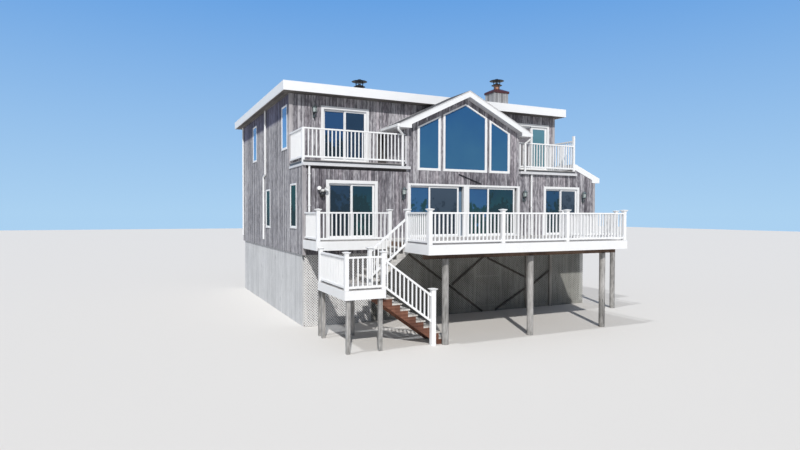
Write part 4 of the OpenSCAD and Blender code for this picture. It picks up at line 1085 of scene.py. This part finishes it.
JAMB = 0.03
MIDDLE_LEAF = 1.09
fixed = []
for x, w, pane in ((left_door[0], SMALL_LEAF, NAVY_PANE), (middle_doors[0], MIDDLE_LEAF, BLUE_PANE),
                   (6.79, MIDDLE_LEAF, BLUE_PANE), (right_door[0], SMALL_LEAF, DEEP_PANE)):
    fixed.append((house(x + JAMB, 0.08, DECK + JAMB),
                  house(x + JAMB + w, 0.12, DOOR_TOP - JAMB), pane))
for (x, _), left_pane, right_pane in zip(UPPER_DOORS, (UPPER_PANE, DIM_PANE),
                                         (NAVY_PANE, PALE_PANE)):
    for x0, x1, y, pane in ((x + JAMB, x + JAMB + SMALL_LEAF, SETBACK + 0.08, left_pane),
                            (x + 1.80 - SMALL_LEAF, x + 1.80, SETBACK + 0.03, right_pane)):
        fixed.append((house(x0, y, UPPER_DOOR_LOW + 0.02),
                      house(x1, y + 0.04, UPPER_DOOR_TOP - JAMB), pane))
for i, (low, high, pane) in enumerate(fixed):
    glazed_panel("fixed_panel_%d" % (i + 1), low, high, 0.10 if pane is PALE_PANE else STILE,
                 pane, replaces=["fixed_door_panels"] if i == 0 else ())


# Upright blind vanes, drawn aside behind the open end of the middle left doorway

VANE_WIDTH, VANE_PITCH, VANE_TOP = 0.089, 0.055, DOOR_TOP + 0.12
leaf_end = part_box("middle_left_door_leaf")[1].x
inside = house(0, 0.205, 0)[1]
vanes = block("vane", (-VANE_WIDTH / 2, -0.001, DECK + 0.03), (VANE_WIDTH / 2, 0.001, VANE_TOP))
pick(vanes)
turn(math.radians(25), "Z")
move(leaf_end - 0.12, inside, 0)
vanes = settle("door_blind_vanes")
repeat(vanes, (VANE_PITCH, 0, 0), 7)
finish(vanes, VANE_PAINT)
rail = [block("rail", (leaf_end - 1.15, inside - 0.018, VANE_TOP),
              (leaf_end + 0.26, inside + 0.018, VANE_TOP + 0.03))]
soften(rail[0], 0.003)
for x in (leaf_end - 1.10, leaf_end + 0.20):
    rail.append(block("bracket", (x - 0.01, inside - 0.057, VANE_TOP + 0.025),
                      (x + 0.01, inside + 0.010, VANE_TOP + 0.035)))
finish(join("door_blind_rail", *rail), WHITE_GUARD)


# Shingles

def shingle_field(name, length, y_low, run, pitch, eave, side):
    """Overlapping rows of shingles up one slope, from the eave at a point (x, z)."""
    tab_height, tab_width, overlap, thick, gap, tilt = 0.145, 0.3, 0.05, 0.007, 0.003, -2.4
    angle = math.atan(pitch)
    slope = run / math.cos(angle)
    rows = round(slope / tab_height)
    exposure = slope / rows
    width = length / round(length / tab_width)
    field = []
    for odd in (0, 1):
        start = y_low - width / 2 * odd
        tab = block("tab", (0, start + gap, 0), (exposure + overlap, start + width - gap, thick))
        count = round(length / width) + odd
        repeat(tab, (0, width, 0), count)
        pick(tab)
        turn(math.radians(tilt), "Y")
        move(odd * exposure, 0, 0.004)
        tab = settle("tab")
        repeat(tab, (2 * exposure, 0, 0), (rows + 1 - odd) // 2)
        field.append(tab)
    field = join(name, *field)
    saw(field, (0, y_low, 0), (0, -1, 0))
    saw(field, (0, y_low + length, 0), (0, 1, 0))
    saw(field, (slope, 0, 0), (1, 0, 0))
    map_boards(field, 1, 0, 0, exposure, width)
    pick(field)
    turn(angle, "Y")
    if side < 0:
        bpy.ops.transform.mirror(constraint_axis=(True, False, False), center_override=(0, 0, 0))
    move(eave[0], 0, eave[1])
    field = settle(name)
    if side < 0:
        outwards(field)
    finish(field, SHINGLES)


GABLE_FRONT = -0.355
GABLE_DEPTH = 1.275 - GABLE_FRONT
for name, x, side in (("gable_shingles_left", BAY_MID - GABLE_HALF, 1),
                      ("gable_shingles_right", BAY_MID + GABLE_HALF, -1)):
    start = house(x, 0, RIDGE - RIDGE_PITCH * GABLE_HALF)
    shingle_field(name, GABLE_DEPTH, house(0, GABLE_FRONT, 0)[1], GABLE_HALF, RIDGE_PITCH,
                  (start.x, start.z), side)
start = house(SIDE_EAVE_X, 0, 5.640)
for name, length, y, inner_x in (
        ("side_roof_shingles", HOUSE_D - SETBACK, SETBACK, UPPER_W),
        ("side_roof_shingles_front", SETBACK - 0.03, 0, SIDE_ROOF_X)):
    shingle_field(name, length, house(0, y, 0)[1], SIDE_EAVE_X - inner_x, SIDE_PITCH,
                  (start.x, start.z), -1)


# Windows: slim frames, their sashes, and panes just behind the frames' faces

def wall_span(axis, face, outward, a, b, z0, z1, back, front):
    """The corners of a box on a wall, from a depth behind its face to one in front."""
    low, high = [0, 0, z0], [0, 0, z1]
    low[axis], high[axis] = a, b
    low[1 - axis], high[1 - axis] = sorted((face - outward * back, face + outward * front))
    return house(*low), house(*high)


def window_unit(axis, face, outward, hole):
    """The frame, sash and sill of one window, and its pane."""
    a, b, z0, z1 = hole

    def around(grow, back, front):
        return wall_span(axis, face, outward, a - grow, b + grow, z0 - grow, z1 + grow,
                         back, front)

    frame = ring("frame", *around(0.04, 0.02, 0.030), 0.055, 1 - axis)
    sash = ring("sash", *around(-0.012, 0.02, 0.022), 0.020, 1 - axis, 0.003)
    pane = block("pane", *around(-0.028, -0.006, 0.012))
    sill = block("sill", *wall_span(axis, face, outward, a - 0.05, b + 0.05, z0 - 0.062,
                                    z0 - 0.04, 0.0, 0.045))
    soften(sill, 0.005, 2)
    return [frame, sash, sill], pane


def slice_front(piece, y0, y1):
    saw(piece, house(0, y0, 0), (0, -1, 0))
    saw(piece, house(0, y1, 0), (0, 1, 0))


window_parts, high_panes, low_panes = [], [], []
for axis, face, outward, holes in (
        (1, 0, -1, LEFT_WINDOWS), (1, UPPER_W, 1, RIGHT_UPPER_WINDOWS),
        (1, HOUSE_W, 1, RIGHT_LOWER_WINDOWS), (0, HOUSE_D, 1, BACK_WINDOWS)):
    for hole in holes:
        parts, pane = window_unit(axis, face, outward, hole)
        window_parts += parts
        (high_panes if hole[2] > 6 else low_panes).append(pane)
for outer, inner, y0, y1 in ((0.060, -0.020, -0.034, 0.02), (-0.020, -0.038, -0.020, 0.02)):
    border = join("border", *gable_window_cutters(outer))
    slice_front(border, y0, y1)
    cut_out(border, *gable_window_cutters(inner))
    soften(border, 0.003)
    window_parts.append(border)
finish(join("window_frames", *window_parts), WHITE_GUARD,
       replaces=["window_trim"])
gable_panes = join("gable_panes", *gable_window_cutters(-0.034))
slice_front(gable_panes, -0.008, 0.002)
finish(gable_panes, GABLE_PANE, replaces=["window_glass"])
finish(join("upper_window_panes", *high_panes), SKY_PANE)
finish(join("lower_window_panes", *low_panes), SHADE_PANE)


# The flat roof: its deck over a soffit of planks, and its vent

roof_deck = block("roof_deck", house(ROOF_LEFT, ROOF_FRONT, 8.569),
                  house(ROOF_RIGHT, ROOF_BACK, 8.885))
finish(roof_deck, MEMBRANE, replaces=["flat_roof"])


def soffit(name, axis, x0, x1, y0, y1, z0=8.556, z1=8.568):
    """Narrow planks along one axis under an overhang."""
    clad(board_row(name, (x0, y0, z0), (x1, y1, z1), 1 - axis, axis, 0.09, 0.008, 0, 0),
         SOFFIT_WOOD)


WALL_GAP = 0.02
front_edge, back_edge = SETBACK - WALL_GAP, HOUSE_D + WALL_GAP
soffit("front_soffit", 0, ROOF_LEFT, ROOF_RIGHT, ROOF_FRONT, front_edge)
soffit("back_soffit", 0, ROOF_LEFT, ROOF_RIGHT, back_edge, ROOF_BACK)
soffit("left_soffit", 1, ROOF_LEFT, -WALL_GAP, front_edge, back_edge)
soffit("right_soffit", 1, UPPER_W + WALL_GAP, ROOF_RIGHT, front_edge, back_edge)


def cowl(x, y, z, d):
    """A storm cowl: a flared collar, open sides with straps, and a brimmed top with a cone."""
    parts = stack(x, y, z,
                  ("collar", d * 0.85, 0, 0.014, 24, d * 0.83),
                  ("flare", d * 0.70, 0.014, 0.06, 24, d * 0.52),
                  ("throat", d * 0.30, 0.05, 0.11, 24, d * 0.24),
                  ("baffle", d * 0.30, 0.185, 0.205, 24, d * 0.55),
                  ("plate", d * 0.95, 0.205, 0.222, 32, d * 1.15),
                  ("brim", d * 1.15, 0.222, 0.240, 32, d * 1.02),
                  ("cone", d * 0.70, 0.240, 0.322, 24, d * 0.20))
    for i in range(6):
        angle = math.radians(60 * i)
        cx, cy = x + d * 0.56 * math.cos(angle), y + d * 0.56 * math.sin(angle)
        parts += stack(cx, cy, z, ("strap", 0.012, 0.01, 0.225, 8))
    return parts


VENT, FLUE = (3.27, 3.00), (10.81, 3.77)
tops = stack(*VENT, 0, ("flashing", 0.31, 8.885, 8.915, 32, 0.20),
             ("pipe", 0.145, 8.90, 9.35, 24), ("band", 0.155, 9.12, 9.15, 24))
tops = join("black_cowls", *tops, *cowl(*VENT, 9.345, 0.29), *cowl(*FLUE, 10.32, 0.31))
soften(tops, 0.002)
finish(tops, BLACK, replaces=["roof_vents"])

cap = block("chimney_red_cap", house(10.355, 3.355, 9.885), house(11.265, 4.185, 9.99))
open_top(cap)
inset(0.02, 0.010)
inset(0.25, 0.125)
leave_edit()
soften(cap, 0.006, 2)
finish(cap, CAP_RED, replaces=["chimney_cap"])
flue = join("copper_flue", *stack(*FLUE, 0, ("flue", 0.145, 10.11, 10.325, 32),
                                  ("seam", 0.160, 10.12, 10.15, 32),
                                  ("seam", 0.155, 10.235, 10.255, 32)))
soften(flue, 0.004)
finish(flue, COPPER)


# Balconies: planks on an edge painted dark as painted shade, behind the gutters

slabs, gutters, planking = [], [], []
for x0, x1 in ((0, BAY_LEFT), (BAY_RIGHT, SIDE_ROOF_X)):
    start, end = (x0 - 0.04, x1 + 0.14) if x0 == 0 else (x0, x1)
    slabs.append(block("slab", house(x0 - 0.01, 0.004, WALL_TOP), house(x1, SETBACK, 5.876)))
    planking.append(planks("planks", x0, x1, 0.01, 1.79, WALK, 0.023, 0.12))
    gutters.append(trough("gutter", house(start, -0.15, WALL_TOP), house(end, 0.002, 5.80)))
    gutters.append(block("gutter_bead", house(start, -0.156, 5.780), house(end, -0.148, 5.802)))
gutters.append(block("side_strip", house(-0.045, 0.003, WALL_TOP), house(-0.011, SETBACK, 5.78)))
for x0, x1 in ((3.945, 3.995), (9.285, 9.335)):
    gutters.append(block("end_post", house(x0, -0.055, WALK), house(x1, -0.005, 6.95)))
    soften(gutters[-1], 0.004)
finish(join("balcony_edges", *slabs), BALCONY_EDGE_SHADE, replaces=["balcony_floors"])
finish(join("balcony_planks", *planking), DECKING)
finish(join("balcony_gutters", *gutters), GUTTER_PAINT)


# Gable gutters and downspouts

def elbowed(x0, x1, side):
    """From under a gable gutter in to the wall, in two round elbows, and down."""
    points = [(x0, -0.245, 7.30), (x0, -0.245, 7.205), (x0 + side * 0.012, -0.238, 7.165),
              (x0 + side * 0.045, -0.215, 7.135), (x1 - side * 0.045, -0.095, 7.035),
              (x1 - side * 0.010, -0.070, 6.995), (x1, -0.060, 6.94), (x1, -0.060, 5.79)]
    return pipe("spout", [house(*point) for point in points], 0.047)


def level_spout(x, radius, *places):
    """A downspout through points (y, z) at one x."""
    return pipe("spout", [house(x, y, z) for y, z in places], radius)


def strap(x, y, z, axis):
    """A band around a downspout, flatter along the wall that it runs down."""
    half = [0.052, 0.052, 0.012]
    half[axis] = 0.05
    half = Vector(half)
    piece = block("strap", house(x, y, z) - half, house(x, y, z) + half)
    soften(piece, 0.004)
    return piece


SIDE_SPOUT_X, BACK_SPOUT_Y, SPOUT_FOOT = -0.062, 11.4675, 2.85
rain = []
for side, half in ((1, 2.8105), (-1, 2.9305)):
    edge, spout_x = BAY_MID - side * GABLE_HALF, BAY_MID - side * half
    lip = sorted((edge, edge - side * 0.10))
    rain.append(trough("gutter", house(lip[0], -0.30, 7.2695), house(lip[1], 1.29, 7.3695)))
    rain.append(elbowed(edge - side * 0.045, spout_x, side))
    rain += [strap(spout_x, -0.04, z, 0) for z in (6.75, 6.10)]
rain.append(level_spout(SIDE_SPOUT_X, 0.045, (5.94, EAVE), (5.94, 5.78), (5.955, 5.735),
                        (6.00, 5.705), (6.25, 5.67), (6.295, 5.64), (6.31, 5.59),
                        (6.31, SPOUT_FOOT)))
rain.append(level_spout(SIDE_SPOUT_X, 0.043, (BACK_SPOUT_Y, EAVE), (BACK_SPOUT_Y, SPOUT_FOOT)))
rain += [strap(-0.055, y, z, 1) for y, z in (
    (5.94, 7.9), (5.94, 6.4), (6.31, 5.0), (6.31, 3.5), (BACK_SPOUT_Y, 7.9),
    (BACK_SPOUT_Y, 6.0), (BACK_SPOUT_Y, 4.0))]
for x in (0.1975, 9.9175):
    rain.append(level_spout(x, 0.040, (-0.060, WALL_TOP), (-0.060, 3.16), (-0.075, 3.11)))
    rain += [strap(x, -0.055, z, 0) for z in (5.4, 4.3, 3.4)]
finish(join("rainwater_pipes", *rain), WHITE_GUARD,
       replaces=["gutters_and_downspouts"])


# The dark rod that leans across the gable wall, on two clips

ROD_X, ROD_Z, ROD_RUN, ROD_DROP = 6.318, 5.585, 1.045, 0.355
wall_rod = [pipe("wall_rod", [house(ROD_X, -0.052, ROD_Z),
                              house(ROD_X + ROD_RUN, -0.052, ROD_Z - ROD_DROP)], 0.019)]
for part in (0.2, 0.8):
    x, z = ROD_X + ROD_RUN * part, ROD_Z - ROD_DROP * part
    wall_rod.append(block("clip", house(x - 0.02, -0.070, z - 0.028),
                          house(x + 0.02, -0.018, z + 0.028)))
finish(join("gable_wall_rod", *wall_rod), BLACK)


# Wall lanterns and the floodlight

LANTERN_OUT = 0.150


def lantern_metal(x, y, z):
    """A six-sided lantern that stands on a scrolled arm over its wall plate."""
    out = y - LANTERN_OUT
    plate = block("plate", house(x - 0.042, y - 0.036, z + 0.02),
                  house(x + 0.042, y - 0.018, z + 0.24))
    soften(plate, 0.006, 2)
    scroll = [(y - 0.03, z + 0.12), (y - 0.06, z + 0.045), (y - 0.105, z + 0.012),
              (y - 0.155, z + 0.030), (y - 0.178, z + 0.075), (y - 0.165, z + 0.125),
              (out, z + 0.165), (out, z + 0.215)]
    curl = [(y - 0.105, z + 0.012), (y - 0.125, z + 0.060), (y - 0.100, z + 0.090),
            (y - 0.075, z + 0.070)]
    parts = [plate, pipe("scroll", [house(x, *place) for place in scroll], 0.011, 1),
             pipe("curl", [house(x, *place) for place in curl], 0.008, 1)]
    parts += stack(x, out, z, ("base", 0.040, 0.195, 0.225, 6, 0.078),
                   ("base", 0.082, 0.225, 0.240, 6), ("eave", 0.112, 0.405, 0.418, 6),
                   ("roof", 0.106, 0.418, 0.500, 6, 0.024),
                   ("finial", 0.014, 0.500, 0.550, 12, 0.004))
    for i in range(6):
        angle = math.radians(60 * i + 30)
        ends = [house(x + r * math.cos(angle), out + r * math.sin(angle), z + rise)
                for r, rise in ((0.074, 0.235), (0.092, 0.410))]
        parts.append(pipe("bar", ends, 0.0055, 0))
    return parts


metal_parts, lamp_parts = [], []
for x, y, z in ((0.915, SETBACK, 7.66), (3.857, 0, 4.51), (9.518, 0, 4.51), (12.794, 0, 4.51)):
    metal_parts += lantern_metal(x, y, z)
    lamp_parts += stack(x, y - LANTERN_OUT, z, ("lamp_glass", 0.066, 0.24, 0.405, 6, 0.084))
finish(join("lantern_frames", *metal_parts), LANTERN_METAL,
       replaces=["wall_lanterns"])
finish(join("lantern_glass", *lamp_parts), LAMP_GLASS)


def lamp_head(x, z, lean):
    """One bell-shaped head of the floodlight, tipped outwards and down."""
    head, = stack(x, -0.14, z, ("head", 0.038, -0.065, 0.060, 20, 0.074))
    open_top(head)
    inset(0.010, -0.025)
    leave_edit()
    pick(head)
    turn(math.radians(-65), "X", house(x, -0.14, z))
    turn(math.radians(lean), "Z", house(x, -0.10, z))
    return settle("head")


FLOOD_X, FLOOD_Z = 0.66, 4.80
flood = stack(FLOOD_X, -0.03, FLOOD_Z, ("plate", 0.065, -0.012, 0.012, 24))
for name, half, y0, y1, z0, z1 in (("stem", 0.11, -0.085, -0.050, 0.03, 0.065),
                                   ("box", 0.060, -0.120, -0.018, -0.045, 0.075)):
    flood.append(block(name, house(FLOOD_X - half, y0, FLOOD_Z + z0),
                       house(FLOOD_X + half, y1, FLOOD_Z + z1)))
flood += [lamp_head(FLOOD_X - 0.11, FLOOD_Z + 0.09, 20),
          lamp_head(FLOOD_X + 0.10, FLOOD_Z + 0.06, -20)]
flood = join("twin_floodlight", *flood)
soften(flood, 0.003)
finish(flood, LAMP_PAINT)
deselect()
bpy.ops.mesh.primitive_uv_sphere_add(segments=24, ring_count=14, radius=0.098,
                                     location=house(FLOOD_X, -0.125, FLOOD_Z - 0.115))
globe = settle("globe")
globe = join("floodlight_globe", globe,
             *stack(FLOOD_X, -0.125, FLOOD_Z, ("collar", 0.052, -0.035, -0.010, 20),
                    ("band", 0.101, -0.122, -0.108, 24),
                    ("tip", 0.006, -0.225, -0.205, 12, 0.022)))
finish(globe, BLACK)


# Camera and light

PICTURE_WIDTH = 800
FOCAL_PIXELS = 557.76
SENSOR = 36


def aim():
    """The camera's turn, from its bearing to the right of the front, its tilt and its roll."""
    yaw, pitch, roll = math.radians(25.535), math.radians(-1.162), math.radians(-0.140)
    ahead = Vector((math.sin(yaw) * math.cos(pitch), math.cos(yaw) * math.cos(pitch),
                    math.sin(pitch)))
    right = Vector((math.cos(yaw), -math.sin(yaw), 0))
    up = right.cross(ahead)
    right, up = (right * math.cos(roll) - up * math.sin(roll),
                 up * math.cos(roll) + right * math.sin(roll))
    return Matrix((right, up, -ahead)).transposed().to_euler()


def sun_lamp(name, energy, angle, colour, direction):
    light = bpy.data.lights.new(name, "SUN")
    light.energy = energy
    light.angle = math.radians(angle)
    light.color = colour
    put_in(name, light).rotation_euler = Vector(direction).to_track_quat("-Z", "Y").to_euler()


view = bpy.data.cameras.new("view")
view.sensor_width = SENSOR
view.lens = FOCAL_PIXELS * SENSOR / PICTURE_WIDTH
view.clip_end = 400
camera = put_in("view", view)
camera.location = house(-5.365, -19.081, 0.912 + DECK)
camera.rotation_euler = aim()
bpy.context.scene.camera = camera
sun_lamp("sun", 3.12, 1.2, (1.0, 0.97, 0.93), (0.49, 1.2, -1.0))
sun_lamp("side_fill", 1.0, 2.5, (0.93, 0.96, 1.0), (1.0, 0.25, -2.12))

world = bpy.data.worlds.new("sky")
bpy.context.scene.world = world
world.use_nodes = True
tree = world.node_tree
tree.nodes.clear()
fill = tree.nodes.new("ShaderNodeBackground")
fill.inputs["Color"].default_value = (0.74, 0.83, 1.0, 1)
fill.inputs["Strength"].default_value = 0.33
shown = tree.nodes.new("ShaderNodeBackground")
shown.inputs["Strength"].default_value = 1.0
sky = add_range(tree, place_along(tree, 2, "Generated"), 0.0, 0.42)
feed(tree, shown.inputs["Color"], add_mix(tree, sky, (0.41, 0.64, 0.88), (0.09, 0.31, 0.74)))
path = tree.nodes.new("ShaderNodeLightPath")
seen = add_math(tree, "MAXIMUM", path.outputs["Is Camera Ray"], path.outputs["Is Glossy Ray"])
seen = add_math(tree, "MAXIMUM", seen, path.outputs["Is Transmission Ray"])
mix = tree.nodes.new("ShaderNodeMixShader")
for i, source in enumerate((seen, fill.outputs[0], shown.outputs[0])):
    tree.links.new(source, mix.inputs[i])
tree.links.new(mix.outputs[0], tree.nodes.new("ShaderNodeOutputWorld").inputs[0])

deselect()
bpy.ops.mesh.primitive_plane_add(size=260, location=(0, 0, -0.001))
floor = settle("studio_floor")
material, tree, shader = new_material("studio_floor_paint")
shader.inputs["Base Color"].default_value = (0.70, 0.68, 0.65, 1)
shader.inputs["Roughness"].default_value = 0.95
floor.data.materials.append(material)

bpy.context.scene.view_settings.view_transform = "Standard"
